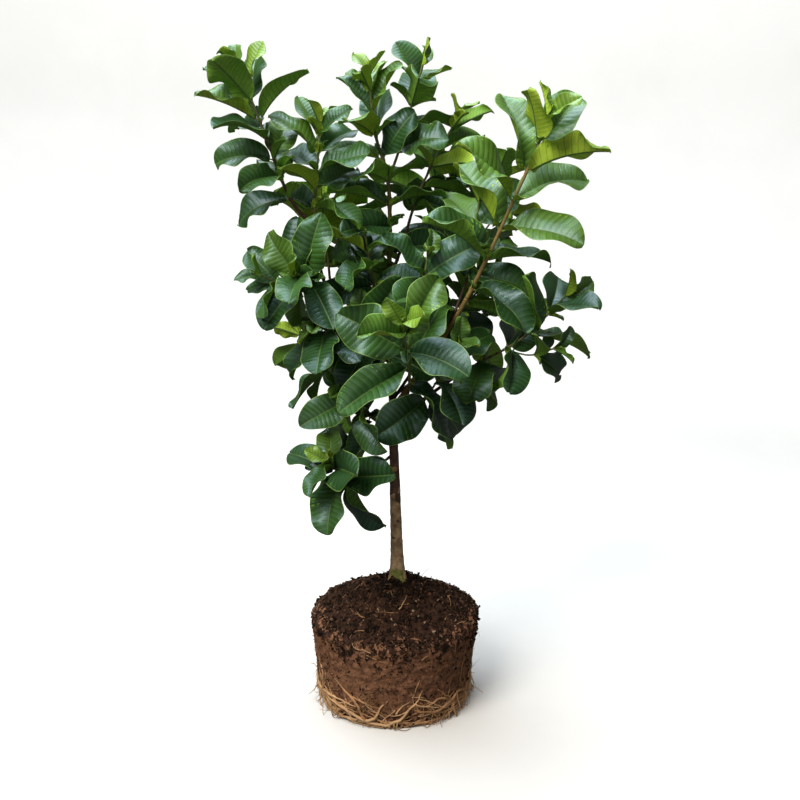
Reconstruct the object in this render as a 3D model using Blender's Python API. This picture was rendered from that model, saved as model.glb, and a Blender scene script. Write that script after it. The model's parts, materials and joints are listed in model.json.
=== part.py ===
"""A young broad-leaved sapling, about 0.85 m tall, standing on its pot-shaped root ball.

The trunk stands on the soil and ends at its main fork. Each bough is one tapering limb, and each
mass of foliage is one solid: a stem that carries on from its bough, side twigs and pairs of leaves.
Metres, +Z up. The origin is the centre of the root ball's flat underside, and -Y is the front.
"""

import math
import random
from collections import namedtuple

import bmesh
import bpy
from mathutils import Quaternion, Vector, noise
from mathutils.bvhtree import BVHTree

# ---------------------------------------------------------------- driving dimensions

RIM_RADIUS = 0.112  # the root ball, where the pot's rim was
FOOT_RADIUS = 0.101  # the root ball at its underside
RIM_HEIGHT = 0.122
SOIL_TOP = 0.160  # where the trunk leaves the soil
SEAT_RADIUS = 0.024  # the level patch of soil under the trunk
EDGE_ROUND = 0.009  # the rounding of the ball's lower and upper edges
TRUNK_FLARE = 0.0055  # how much the root flare adds to the trunk's radius
FLARE_HEIGHT = 0.014
COLLAR_HEIGHT = 0.006  # of the swelling at a bough's foot
LEAF_WIDTH = 0.62  # of a leaf's length
CROWN_MIDDLE = 0.03  # leaves before this depth face the front, and those behind it the back
GAP = 0.0003  # between solids that touch
SEED = 11

# One limb and the shoot that it turns into. "start" is a share of its parent's length, and
# "points" are the places that it passes through, the last one its tip. "radius" is at its foot
# and tip. The first "bare" share is a bough, and the rest carries "pairs" of leaves, which are
# "leaf" long when full grown. "turn" aims the plane of the pairs: 0 is left and right, 90 front
# and back. "sides" is how many side shoots it has.
# An axis with no bare part is a branch of its parent's own mass of foliage.
Axis = namedtuple("Axis", "name parent start points radius bare pairs leaf turn sides")

AXES = (
    Axis("trunk", None, 0, ((0.004, 0, SOIL_TOP), (0.001, 0, 0.27), (-0.003, 0, 0.43)),
         (0.0088, 0.0046), 1.0, 0, 0, 0, 0),
    Axis("centre", "trunk", 1.0,
         ((-0.006, 0, 0.57), (-0.007, 0, 0.68), (-0.023, 0, 0.741), (-0.030, -0.010, 0.812)),
         (0.0046, 0.0012), 0.40, 9, 0.076, 30, 0),
    Axis("centre_top", "centre", 0.66, ((0.009, 0.010, 0.73), (0.034, 0.010, 0.820)),
         (0.0018, 0.0011), 0.0, 6, 0.076, 60, 0),
    Axis("centre_right", "centre", 0.35,
         ((0.010, 0.020, 0.605), (0.032, 0.030, 0.672), (0.079, 0.040, 0.762)),
         (0.0024, 0.0011), 0.40, 6, 0.074, 0, 1),
    Axis("inner_left", "centre", 0.22, ((-0.024, -0.030, 0.560), (-0.034, -0.048, 0.622)),
         (0.0022, 0.0011), 0.40, 4, 0.074, 30, 0),
    Axis("centre_low", "centre", 0.03, ((-0.022, -0.040, 0.480), (-0.040, -0.078, 0.528)),
         (0.0020, 0.0011), 0.40, 4, 0.080, 30, 0),
    Axis("inner_front", "centre", 0.10, ((0.022, -0.035, 0.51), (0.040, -0.065, 0.600)),
         (0.0022, 0.0011), 0.42, 4, 0.078, 40, 0),
    Axis("left", "trunk", 0.94, ((-0.061, -0.020, 0.504), (-0.094, -0.030, 0.61), (-0.086, -0.030, 0.755)),
         (0.0032, 0.0011), 0.70, 6, 0.074, 0, 0),
    Axis("left_top", "left", 0.66,
         ((-0.123, -0.045, 0.667), (-0.150, -0.055, 0.744), (-0.176, -0.062, 0.812)),
         (0.0024, 0.0011), 0.18, 8, 0.078, 30, 0),
    Axis("left_middle", "left", 0.50, ((-0.098, -0.065, 0.570), (-0.112, -0.098, 0.582)),
         (0.0018, 0.0011), 0.35, 5, 0.084, 45, 1),
    Axis("left_low", "left", 0.26, ((-0.068, -0.058, 0.508), (-0.090, -0.095, 0.522)),
         (0.0018, 0.0011), 0.35, 4, 0.078, 90, 0),
    Axis("left_inner", "left", 0.40, ((-0.084, 0.022, 0.590), (-0.092, 0.055, 0.650)),
         (0.0020, 0.0011), 0.35, 4, 0.084, 60, 0),
    Axis("right", "trunk", 0.88, ((0.077, -0.070, 0.535), (0.142, -0.100, 0.683), (0.170, -0.109, 0.758)),
         (0.0037, 0.0014), 0.46, 7, 0.098, 0, 0),
    Axis("right_inner", "right", 0.34, ((0.092, -0.055, 0.590), (0.100, -0.045, 0.665)),
         (0.0020, 0.0011), 0.35, 4, 0.080, 0, 0),
    Axis("right_rear", "centre", 0.14, ((0.068, 0.030, 0.566), (0.112, 0.055, 0.640), (0.142, 0.075, 0.690)),
         (0.0026, 0.0011), 0.42, 5, 0.090, 30, 1),
    Axis("right_middle", "trunk", 0.925, ((0.050, -0.015, 0.49), (0.120, -0.030, 0.575)),
         (0.0023, 0.0011), 0.42, 5, 0.080, 0, 1),
    Axis("right_low", "trunk", 0.82, ((0.080, -0.030, 0.45), (0.154, -0.050, 0.499), (0.206, -0.060, 0.555)),
         (0.0026, 0.0011), 0.46, 5, 0.092, 70, 1),
    Axis("front", "trunk", 0.85, ((0.018, -0.075, 0.445), (0.010, -0.160, 0.537)),
         (0.0027, 0.0011), 0.45, 5, 0.098, 0, 0),
    Axis("front_low", "trunk", 0.78, ((-0.030, -0.045, 0.400), (-0.060, -0.088, 0.446)),
         (0.0018, 0.0011), 0.40, 4, 0.078, 60, 0),
    Axis("front_right", "trunk", 0.72, ((0.041, -0.050, 0.428), (0.076, -0.090, 0.500)),
         (0.0020, 0.0011), 0.45, 4, 0.084, 90, 0),
    Axis("lower_left", "trunk", 0.66,
         ((-0.040, -0.030, 0.318), (-0.065, -0.047, 0.326), (-0.080, -0.058, 0.344)),
         (0.0020, 0.0011), 0.62, 6, 0.084, 90, 0),
    Axis("back_left", "centre", 0.05, ((-0.052, 0.070, 0.55), (-0.092, 0.120, 0.665)),
         (0.0026, 0.0011), 0.42, 5, 0.084, 0, 1),
    Axis("back_right", "centre", 0.24, ((0.040, 0.075, 0.60), (0.060, 0.125, 0.705)),
         (0.0024, 0.0011), 0.42, 5, 0.088, 30, 1),
    Axis("back_low", "trunk", 0.90, ((0.005, 0.080, 0.45), (0.0, 0.150, 0.535)),
         (0.0024, 0.0011), 0.42, 5, 0.084, 45, 1),
    Axis("back_low_left", "trunk", 0.76, ((-0.069, 0.050, 0.413), (-0.130, 0.085, 0.482)),
         (0.0022, 0.0011), 0.42, 4, 0.078, 0, 1),
    Axis("back_low_right", "trunk", 0.94, ((0.072, 0.060, 0.46), (0.145, 0.100, 0.53)),
         (0.0022, 0.0011), 0.42, 4, 0.084, 0, 1),
)

# ---------------------------------------------------------------- growth rule

# A leaf: where its stalk leaves the stem, the way it points there, the way its upper face looks,
# its size, how far it arches back, how deep it folds along the midrib, and its age, from 0 at a
# shoot's tip to 1 at its lowest pair. Angles are in radians.
Leaf = namedtuple("Leaf", "foot out face length width droop fold age")

CURVE_STEPS = 16  # line pieces between two points of a limb
COLLAR = 0.25  # the swelling at a bough's foot, as a share of its radius
TIP_CROWDING = 1.12  # above 1, pairs of leaves sit closer towards the tip
LAST_PAIR = 0.985  # the highest place of a pair on its shoot
CROSSING = 66  # the degrees between the planes of one pair and the next
LIFT = (26, 40, 34)  # a leaf's degrees from its stem when young, more when old, and more low down
HANGING = (0.60, 0.42)  # heights at which leaves start to hang, and hang in full
SAG = (0.08, 0.18)  # how far an old leaf's weight pulls it down, and more low down
LIGHT = (0.40, 0.45, 0.30, 0.45)  # how far it faces along its stem, outwards, more low down, and up
ROLL = 42  # the most degrees that a leaf rolls to either side
YOUNG = 0.36  # the size of a leaf that is just out
FULL_GROWN = 0.34  # the age from which a leaf has its full size
DROOP = (16, 30)  # the degrees that a leaf arches back when young, and more when old
FOLD = (14, 36)  # the least and most degrees that each half is folded up
LEAF_SPACE = 1.04  # how far from its stem a leaf's tip may reach, in full-grown lengths
TRIES = 20  # ways that a leaf is turned before it is left out
CLEARANCE = 0.0008  # that a leaf keeps on each side from all else
FREE_FROM = 0.16  # the share of a leaf, from its foot, that lies too near its stem to be tested
SIDE_SHOOT = (0.035, 0.030)  # the length of a side shoot at the tip, and more at the foot
SIDE_PAIRS = 3
SIDE_LEAF = 0.72  # the size of a side shoot's leaves


class Curve:
    """A smooth line through points, read by the share of its length."""

    def __init__(self, points):
        knots = [Vector(p) for p in points]
        ends = [knots[0] * 2 - knots[1], *knots, knots[-1] * 2 - knots[-2]]
        self.line = [knots[0]]
        for a, b, c, d in zip(ends, ends[1:], ends[2:], ends[3:]):
            for step in range(1, CURVE_STEPS + 1):
                t = step / CURVE_STEPS
                bend = (2 * a - 5 * b + 4 * c - d) * t**2 + (3 * b - a - 3 * c + d) * t**3
                self.line.append(b + 0.5 * ((c - a) * t + bend))
        self.run = [0.0]
        for a, b in zip(self.line, self.line[1:]):
            self.run.append(self.run[-1] + (b - a).length)
        self.length = self.run[-1]

    def at(self, share):
        """The point and the direction there."""
        goal = min(max(share, 0.0), 1.0) * self.length
        i = next((k for k in range(1, len(self.run) - 1) if self.run[k] >= goal), len(self.run) - 1)
        ahead = (self.line[i] - self.line[i - 1]).normalized()
        return self.line[i - 1] + ahead * (goal - self.run[i - 1]), ahead


def girth(axis, curve, share):
    """The radius of a limb: an even taper, with a collar at its foot or the trunk's root flare."""
    foot, tip = axis.radius
    if axis.parent is None:
        return foot + (tip - foot) * share + TRUNK_FLARE * math.exp(-share * curve.length / FLARE_HEIGHT)
    collar = COLLAR * foot if axis.start < 1 else 0.0
    return foot + (tip - foot) * share**0.9 + collar * math.exp(-share * curve.length / COLLAR_HEIGHT)


def around(ahead, angle):
    """The direction square to a stem at an angle round it: 0 is to the left, 90 to the front."""
    left = ahead.cross(Vector((0, 1, 0))).normalized()
    front = ahead.cross(left)
    return left * math.cos(math.radians(angle)) + front * math.sin(math.radians(angle))


def midrib(leaf, share):
    """The point, direction, upper side and right-hand side of a leaf at a share of its midrib."""
    angle = leaf.droop * share
    bend = leaf.length / leaf.droop
    spot = leaf.foot + leaf.out * bend * math.sin(angle) - leaf.face * bend * (1 - math.cos(angle))
    ahead = leaf.out * math.cos(angle) - leaf.face * math.sin(angle)
    face = leaf.face * math.cos(angle) + leaf.out * math.sin(angle)
    return spot, ahead, face, ahead.cross(face)


STATIONS = ((0.30, 0.90), (0.74, 0.88))  # a blade's sections: share of length, share of half width
STALK = 0.06  # the share of a leaf's length that is its stalk
STALK_RADIUS = 0.0009
LEAF_SINK = 0.0012  # that a stalk's foot lies under its stem's surface
BLADE_DEPTH = 0.011  # a blade's thickness at its midrib, as a share of its length


def bands(rings, sides):
    """The faces between rings of points: two triangles for each side."""
    faces = []
    for ring in range(rings - 1):
        for k in range(sides):
            a, b = ring * sides + k, ring * sides + (k + 1) % sides
            faces += [(a, b, b + sides), (a, b + sides, a + sides)]
    return faces


def caps(count, sides):
    """The faces that close the first and the last ring of a tube."""
    return [tuple(reversed(range(sides))), tuple(range(count - sides, count))]


def blade(leaf, margin=0.0, first=0.0):
    """A leaf as a closed shape with a flat upper side, a keel below and a straight stalk."""
    points = []
    spot, ahead, face, side = midrib(leaf, max(STALK, first))
    reach, depth = side * (STALK_RADIUS + margin), face * (STALK_RADIUS + margin)
    for back in (STALK * leaf.length if first < STALK else 0.0, 0.0):
        middle = spot - ahead * back
        points += [middle - reach + depth * 0.6, middle - depth, middle + reach + depth * 0.6]
    for share, width in STATIONS:
        spot, _, face, side = midrib(leaf, share)
        reach = side * (width * leaf.width / 2 + margin)
        rise = face * (width * leaf.width / 2 * math.sin(leaf.fold) * 0.5 + margin)
        depth = face * (BLADE_DEPTH * leaf.length + margin)
        points += [spot - reach + rise, spot + rise - depth, spot + reach + rise]
    points.append(midrib(leaf, 1.0)[0])
    faces = [(0, 1, 4, 3), (1, 2, 5, 4), (2, 0, 3, 5), (2, 1, 0)]
    for left in range(3, len(points) - 4, 3):
        under, right = left + 1, left + 2
        faces += [(left, under + 3, left + 3), (left, under, under + 3)]
        faces += [(right, right + 3, under + 3), (right, under + 3, under)]
        faces += [(left, left + 3, right + 3), (left, right + 3, right)]
    last = len(points) - 1
    faces += [(last - 3, last - 2, last), (last - 2, last - 1, last), (last - 1, last - 3, last)]
    return points, faces


def ring_frames(curve, shares):
    """Points along a curve with two directions square to it that don't twist."""
    frames, side = [], None
    for share in shares:
        spot, ahead = curve.at(share)
        if side is None:
            side = ahead.orthogonal()
        side = (side - ahead * side.dot(ahead)).normalized()
        frames.append((spot, side, ahead.cross(side)))
    return frames


def tube(curve, shares, radii, sides):
    """A closed tube round a curve. Returns points and faces."""
    points = []
    for (spot, a, b), radius in zip(ring_frames(curve, shares), radii):
        for k in range(sides):
            angle = math.tau * k / sides
            points.append(spot + (a * math.cos(angle) + b * math.sin(angle)) * radius)
    return points, bands(len(shares), sides) + caps(len(points), sides)


class Space:
    """What is already grown, so that no leaf runs through a limb or another leaf."""

    def __init__(self):
        self.held = []

    @staticmethod
    def wrap(shape):
        points, faces = shape
        middle = sum(points, Vector()) / len(points)
        reach = max((p - middle).length for p in points)
        return middle, reach, BVHTree.FromPolygons(points, faces)

    def add(self, owner, shape):
        self.held.append((owner, *self.wrap(shape)))

    def free(self, owner, whole, outer):
        """Whether all of a leaf is clear of other masses, and its outer part of its own mass."""
        whole, outer = self.wrap(whole), self.wrap(outer)
        for other, middle, reach, tree in self.held:
            mine = outer if other == owner else whole
            if (middle - mine[0]).length < reach + mine[1] and tree.overlap(mine[2]):
                return False
        return True


def even(first, last, most):
    """Shares from first to last in equal steps."""
    return [first + (last - first) * k / most for k in range(most + 1)]


def node_shares(axis):
    """Where the pairs of leaves sit, closer together towards the tip, with each pair's age."""
    found = []
    for pair in range(axis.pairs):
        age = max(0.0, 1 - (pair + 0.35) / (axis.pairs - 0.45))
        share = axis.bare + (1 - axis.bare) * (1 - age**TIP_CROWDING)
        found.append((min(share, LAST_PAIR), age))
    return found


def side_axes(axis, curve, dice):
    """The side shoots of an axis, from the axils of its lower leaves."""
    grown = []
    nodes = node_shares(axis)
    for k in range(axis.sides):
        share, age = nodes[min(1 + 2 * k, axis.pairs - 2)]
        foot, ahead = curve.at(share)
        angle = axis.turn + dice.choice((90, 270))
        reach = (SIDE_SHOOT[0] + SIDE_SHOOT[1] * age) * dice.uniform(0.9, 1.2)
        out = (ahead * 0.75 + around(ahead, angle) * 0.66) * reach
        points = (foot + out * 0.5, foot + out + Vector((0, 0, 0.25 * reach)))
        radius = (girth(axis, curve, share) * 0.7, 0.0009)
        leaf, turn = axis.leaf * SIDE_LEAF, dice.uniform(0, 90)
        name = f"{axis.name}_side{k + 1}"
        grown.append(Axis(name, axis.name, share, points, radius, 0.0, SIDE_PAIRS, leaf, turn, 0))
    return grown


def all_axes():
    """Every axis with its curve, side shoots included, each after its parent."""
    grown, curves = [], {}
    for axis in AXES:
        dice = random.Random(f"{SEED} sides {axis.name}")
        points = axis.points
        if axis.parent:
            points = (curves[axis.parent].at(axis.start)[0], *points)
        curves[axis.name] = Curve(points)
        grown.append(axis)
        for side in side_axes(axis, curves[axis.name], dice):
            foot = curves[axis.name].at(side.start)[0]
            curves[side.name] = Curve((foot, *side.points))
            grown.append(side)
    return grown, curves


def leaf_at(axis, curve, share, age, angle, dice):
    """One leaf of a pair, grown from the stem at an angle round it."""
    foot, ahead = curve.at(share)
    low = min(max((HANGING[0] - foot.z) / (HANGING[0] - HANGING[1]), 0.0), 1.0)
    lift = math.radians(LIFT[0] + (LIFT[1] + LIFT[2] * low) * age + dice.uniform(-9, 9))
    out = ahead * math.cos(lift) + around(ahead, angle) * math.sin(lift)
    out = (out - Vector((0, 0, (SAG[0] + SAG[1] * low) * age))).normalized()
    outside = Vector((0.5 * foot.x, foot.y - CROWN_MIDDLE, 0)).normalized()
    light = ahead * LIGHT[0] + outside * (LIGHT[1] + LIGHT[2] * low) + Vector((0, 0, LIGHT[3]))
    face = (light - out * light.dot(out)).normalized()
    face = Quaternion(out, math.radians(dice.uniform(-ROLL, ROLL))) @ face
    size = min(1.0, YOUNG + (1 - YOUNG) * age / FULL_GROWN) * dice.uniform(0.88, 1.10)
    length = axis.leaf * size
    width = length * LEAF_WIDTH * dice.uniform(0.92, 1.08)
    droop = math.radians(DROOP[0] + DROOP[1] * age + dice.uniform(-10, 14))
    fold = math.radians(dice.uniform(*FOLD))
    sunk = foot + out * max(0.0, girth(axis, curve, share) - LEAF_SINK)
    return Leaf(sunk, out, face, length, width, droop, fold, age)


def grow_pair_leaf(axis, curve, pair, side, space, mass):
    """One leaf, turned until it is clear of all that is grown, or None."""
    share, age = node_shares(axis)[pair]
    dice = random.Random(f"{SEED} {axis.name} {pair} {side}")
    plane = axis.turn + (CROSSING if pair % 2 else -CROSSING) / 2
    for attempt in range(TRIES):
        swing = 4 + 3 * attempt
        leaf = leaf_at(axis, curve, share, age, plane + side + dice.uniform(-swing, swing), dice)
        whole = blade(leaf, CLEARANCE)
        strays = (midrib(leaf, 1.0)[0] - curve.at(share)[0]).length > LEAF_SPACE * axis.leaf
        if not strays and space.free(mass, whole, blade(leaf, CLEARANCE, FREE_FROM)):
            space.add(mass, whole)
            return leaf
    return None


def grow_leaves(axes, curves):
    """The leaves of every axis, by axis name. A leaf that can't be turned clear is left out."""
    space = Space()
    masses = {axis.name: axis.name if axis.bare else axis.parent for axis in axes}
    for axis in axes:
        curve = curves[axis.name]
        shares = even(0.0, 1.0, max(4, round(curve.length / 0.02)))
        radii = [girth(axis, curve, s) + CLEARANCE for s in shares]
        space.add(masses[axis.name], tube(curve, shares, radii, 5))
    grown = {}
    for axis in axes:
        places = [(pair, side) for pair in range(axis.pairs) for side in (0, 180)]
        tried = [
            grow_pair_leaf(axis, curves[axis.name], pair, side, space, masses[axis.name])
            for pair, side in places
        ]
        grown[axis.name] = [leaf for leaf in tried if leaf]
    return grown


# ---------------------------------------------------------------- solids

# Colours and roughness.
SOIL = ((0.045, 0.028, 0.018), 0.95)
PALE_ROOT = ((0.50, 0.31, 0.14), 0.70)
BARK = ((0.14, 0.085, 0.055), 0.85)
GREEN_LEAF = ((0.06, 0.17, 0.035), 0.45)

# How finely limbs are made: the distance between rings, and the sides of a ring.
TRUNK_MESH = (0.018, 12)
BOUGH_MESH = (0.028, 6)
STEM_MESH = (0.030, 5)
BRANCH_MESH = (0.030, 4)
CUTTER_MESH = (0.014, 12)
SMOOTH_UNDER = 40  # degrees between faces that are shaded as one


def make_material(name, look):
    colour, roughness = look
    material = bpy.data.materials.new(name)
    material.use_nodes = True
    shader = material.node_tree.nodes["Principled BSDF"]
    shader.inputs["Base Color"].default_value = (*colour, 1.0)
    shader.inputs["Roughness"].default_value = roughness
    shader.inputs["Metallic"].default_value = 0.0
    return material


def make_solid(name, shape, look=None):
    """An object with its own material, or a cutter or other helper where it has no look."""
    points, faces = shape
    mesh = bpy.data.meshes.new(name)
    mesh.from_pydata([tuple(p) for p in points], [], faces)
    work = bmesh.new()
    work.from_mesh(mesh)
    bmesh.ops.recalc_face_normals(work, faces=work.faces)
    work.to_mesh(mesh)
    work.free()
    solid = bpy.data.objects.new(name, mesh)
    bpy.context.scene.collection.objects.link(solid)
    if look:
        mesh.materials.append(make_material(name, look))
    else:
        solid.hide_render = True
        solid.display_type = "WIRE"
    return solid


def closed(mesh):
    """Whether each edge of a mesh has its two faces."""
    uses = [0] * len(mesh.edges)
    for corner in mesh.loops:
        uses[corner.edge_index] += 1
    return all(count == 2 for count in uses)


def combine(solid, operation, other):
    """Applies a Boolean with an object or a collection, by the first solver that leaves a closed mesh."""
    for solver in ("EXACT", "MANIFOLD"):
        change = solid.modifiers.new(operation, "BOOLEAN")
        change.operation, change.solver = operation, solver
        if isinstance(other, bpy.types.Collection):
            change.operand_type, change.collection = "COLLECTION", other
        else:
            change.object = other
        graph = bpy.context.evaluated_depsgraph_get()
        mesh = bpy.data.meshes.new_from_object(solid.evaluated_get(graph))
        solid.modifiers.clear()
        if closed(mesh):
            break
    solid.data = mesh
    keep_body(solid)


def keep_body(solid):
    """Keeps a solid's one main body: sealed hollows are filled and loose scraps are dropped."""
    work = bmesh.new()
    work.from_mesh(solid.data)
    left = set(work.faces)
    shells = []
    while left:
        shell, front = set(), [left.pop()]
        while front:
            face = front.pop()
            shell.add(face)
            fresh = {near for edge in face.edges for near in edge.link_faces} & left
            left -= fresh
            front.extend(fresh)
        shells.append(shell)
    shells.sort(key=lambda shell: sum(face.calc_area() for face in shell))
    for shell in shells[:-1]:
        bmesh.ops.delete(work, geom=list(shell), context="FACES")
    work.to_mesh(solid.data)
    work.free()


def cut(solid, cutter_shape):
    """Takes a shape out of a solid."""
    cutter = make_solid("cutter", cutter_shape)
    combine(solid, "DIFFERENCE", cutter)
    bpy.data.objects.remove(cutter)


def fuse(solid, shapes):
    """Joins shapes to a solid with one Boolean union."""
    parts = bpy.data.collections.new("parts")
    bpy.context.scene.collection.children.link(parts)
    for shape in shapes:
        part = make_solid("part", shape)
        bpy.context.scene.collection.objects.unlink(part)
        parts.objects.link(part)
    combine(solid, "UNION", parts)
    for part in list(parts.objects):
        bpy.data.objects.remove(part)
    bpy.data.collections.remove(parts)


def limb_tube(axis, curve, first, last, fineness, extra=0.0):
    """The stretch of an axis between two shares, as a tube. The trunk's foot is cut level."""
    spacing, sides = fineness
    shares = even(first, last, max(2, round((last - first) * curve.length / spacing)))
    points, faces = tube(curve, shares, [girth(axis, curve, s) + extra for s in shares], sides)
    if axis.parent is None:
        for point in points[:sides]:
            point.z = SOIL_TOP
    return points, faces


def build_limbs(axes, curves):
    """The trunk and the boughs, each cut clear of the limb that it grows from."""
    for axis in (a for a in axes if a.bare):
        curve = curves[axis.name]
        first = 0.0 if axis.start < 1 else GAP / curve.length
        if axis.parent is None:
            make_solid(axis.name, limb_tube(axis, curve, first, 1.0, TRUNK_MESH), BARK)
            continue
        shape = limb_tube(axis, curve, first, axis.bare, BOUGH_MESH)
        limb = make_solid(f"bough_{axis.name}", shape, BARK)
        if axis.start < 1:
            parent = next(a for a in AXES if a.name == axis.parent)
            cut(limb, limb_tube(parent, curves[parent.name], 0.0, parent.bare, CUTTER_MESH, GAP))


def build_foliage(axes, curves, leaves):
    """Each mass: a stem that carries on from its bough, with its branches and leaves fused on."""
    for axis in (a for a in axes if a.bare and a.pairs):
        curve = curves[axis.name]
        first = axis.bare + GAP / curve.length
        shape = limb_tube(axis, curve, first, 1.0, STEM_MESH)
        stem = make_solid(f"foliage_{axis.name}", shape, GREEN_LEAF)
        members = [axis] + [a for a in axes if a.parent == axis.name and not a.bare]
        shapes = [blade(leaf) for member in members for leaf in leaves[member.name]]
        shapes += [limb_tube(m, curves[m.name], 0.0, 1.0, BRANCH_MESH) for m in members[1:]]
        fuse(stem, shapes)


# ---------------------------------------------------------------- root ball

BALL_SIDES = 36
LUMPS = ((14.0, 0.0035), (38.0, 0.0014))  # waves per metre and height of the soil's unevenness


def lump(spot):
    return sum(height * noise.noise(spot * waves) for waves, height in LUMPS)


def ball_profile():
    """The root ball's outline from the edge of its underside to the edge of the trunk's seat."""
    outline = []
    for k in range(4):
        angle = math.radians(30 * k)
        out = FOOT_RADIUS - EDGE_ROUND * (1 - math.sin(angle))
        outline.append((out, EDGE_ROUND * (1 - math.cos(angle))))
    for k in range(1, 4):
        part = k / 4
        height = EDGE_ROUND + (RIM_HEIGHT - 2 * EDGE_ROUND) * part
        outline.append((FOOT_RADIUS + (RIM_RADIUS - FOOT_RADIUS) * part, height))
    for k in range(4):
        angle = math.radians(30 * k)
        out = RIM_RADIUS - EDGE_ROUND * (1 - math.cos(angle))
        outline.append((out, RIM_HEIGHT - EDGE_ROUND * (1 - math.sin(angle))))
    for k in range(1, 5):
        part = k / 4
        out = RIM_RADIUS - EDGE_ROUND + (SEAT_RADIUS - RIM_RADIUS + EDGE_ROUND) * part
        outline.append((out, RIM_HEIGHT + (SOIL_TOP - GAP - RIM_HEIGHT) * part**1.15))
    return outline


def ball_shape():
    """The root ball, uneven everywhere but on its underside and the trunk's seat."""
    points = []
    outline = ball_profile()
    for ring, (out, height) in enumerate(outline):
        for k in range(BALL_SIDES):
            angle = math.tau * k / BALL_SIDES
            way = Vector((math.cos(angle), math.sin(angle), 0))
            spot = way * out + Vector((0, 0, height))
            if 0 < ring < len(outline) - 1:
                spot += (way * 0.7 + Vector((0, 0, 0.3 if height > RIM_HEIGHT / 2 else 0))) * lump(spot)
            points.append(spot)
    return points, bands(len(outline), BALL_SIDES) + caps(len(points), BALL_SIDES)


RING_HEIGHT = 0.018
ROOT_RADIUS = 0.0026
ROOT_GAP = 0.0008  # between a root and the soil's face
ROOT_MESH = (0.014, 3)
CLIMBERS = 9  # roots that branch off up the ball's side
SPREADERS = 7  # roots that stand out at its foot


def wall_point(angle, height, lift):
    """A point over the root ball's side."""
    if height < EDGE_ROUND:
        out = FOOT_RADIUS - EDGE_ROUND + math.sqrt(EDGE_ROUND**2 - (EDGE_ROUND - height) ** 2)
    else:
        part = (height - EDGE_ROUND) / (RIM_HEIGHT - 2 * EDGE_ROUND)
        out = FOOT_RADIUS + (RIM_RADIUS - FOOT_RADIUS) * part
    way = Vector((math.cos(angle), math.sin(angle), 0))
    spot = way * out + Vector((0, 0, height))
    return spot + way * (0.7 * lump(spot) + lift)


def ring_height(angle):
    return RING_HEIGHT + 0.004 * math.sin(2 * angle + 0.6) + 0.002 * math.sin(5 * angle)


def root_ring():
    """The root that circles the foot of the ball."""
    points = []
    for step in range(BALL_SIDES):
        angle = math.tau * step / BALL_SIDES
        radius = ROOT_RADIUS * (1 + 0.2 * math.sin(3 * angle))
        middle = wall_point(angle, ring_height(angle), radius + ROOT_GAP)
        way = Vector((math.cos(angle), math.sin(angle), 0))
        for k in range(4):
            turn = math.tau * k / 4
            points.append(middle + (way * math.cos(turn) + Vector((0, 0, math.sin(turn)))) * radius)
    faces = [tuple(corner % len(points) for corner in face) for face in bands(BALL_SIDES + 1, 4)]
    return points, faces


def branch_root(angle, lean, rise, reach, thick):
    """A root that leaves the ring and tapers away up the side, down it, or outwards."""
    base = ring_height(angle)
    lift = ROOT_RADIUS + ROOT_GAP
    curve = Curve([
        wall_point(angle + lean * t, base + rise * t**1.4, lift + reach * t**1.5) for t in even(0, 1, 3)
    ])
    spacing, sides = ROOT_MESH
    shares = even(0.0, 1.0, max(3, round(curve.length / spacing)))
    return tube(curve, shares, [thick * (1 - 0.55 * s) for s in shares], sides)


def build_roots():
    """The roots that circled the pot: a ring round the foot, with branches up the side and outwards."""
    dice = random.Random(f"{SEED} roots")
    branches = []
    for k in range(CLIMBERS):
        angle = math.tau * (k + dice.uniform(-0.3, 0.3)) / CLIMBERS
        lean = dice.choice((-1, 1)) * dice.uniform(0.15, 0.4)
        branches.append(branch_root(angle, lean, dice.uniform(0.025, 0.06), 0.0, ROOT_RADIUS * 0.8))
    for k in range(SPREADERS):
        angle = math.tau * (k + dice.uniform(-0.3, 0.3)) / SPREADERS
        lean = dice.choice((-1, 1)) * dice.uniform(0.05, 0.14)
        fall = RING_HEIGHT * 0.7 - ring_height(angle)
        branches.append(branch_root(angle, lean, fall, dice.uniform(0.004, 0.010), ROOT_RADIUS * 0.75))
    ring = make_solid("circling_roots", root_ring(), PALE_ROOT)
    fuse(ring, branches)


def main():
    for old in list(bpy.data.objects):
        bpy.data.objects.remove(old)
    axes, curves = all_axes()
    make_solid("root_ball", ball_shape(), SOIL)
    build_roots()
    build_limbs(axes, curves)
    build_foliage(axes, curves, grow_leaves(axes, curves))
    for solid in bpy.data.objects:
        solid.data.shade_smooth()
        solid.data.set_sharp_from_angle(angle=math.radians(SMOOTH_UNDER))


main()
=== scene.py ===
"""The looks of the sapling with its root ball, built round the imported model.

Each mass of foliage is grown again by the source's rule, from the same table of limbs and the same
seeds, and carried on to finer twigs, axil leaves and buds. Leaves are closed sheets with pleats,
waved edges and a rib. The limbs get bark with relief, and the ball its crumbs, grit and roots.
Metres, +Z up, -Y towards the camera. Colours are linear.
"""

import json
import random
from collections import namedtuple
from math import atan2, cos, exp, hypot, pi, radians, sin, tau

import bpy
import numpy as np
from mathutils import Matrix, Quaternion, Vector, noise
from mathutils.bvhtree import BVHTree

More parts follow.
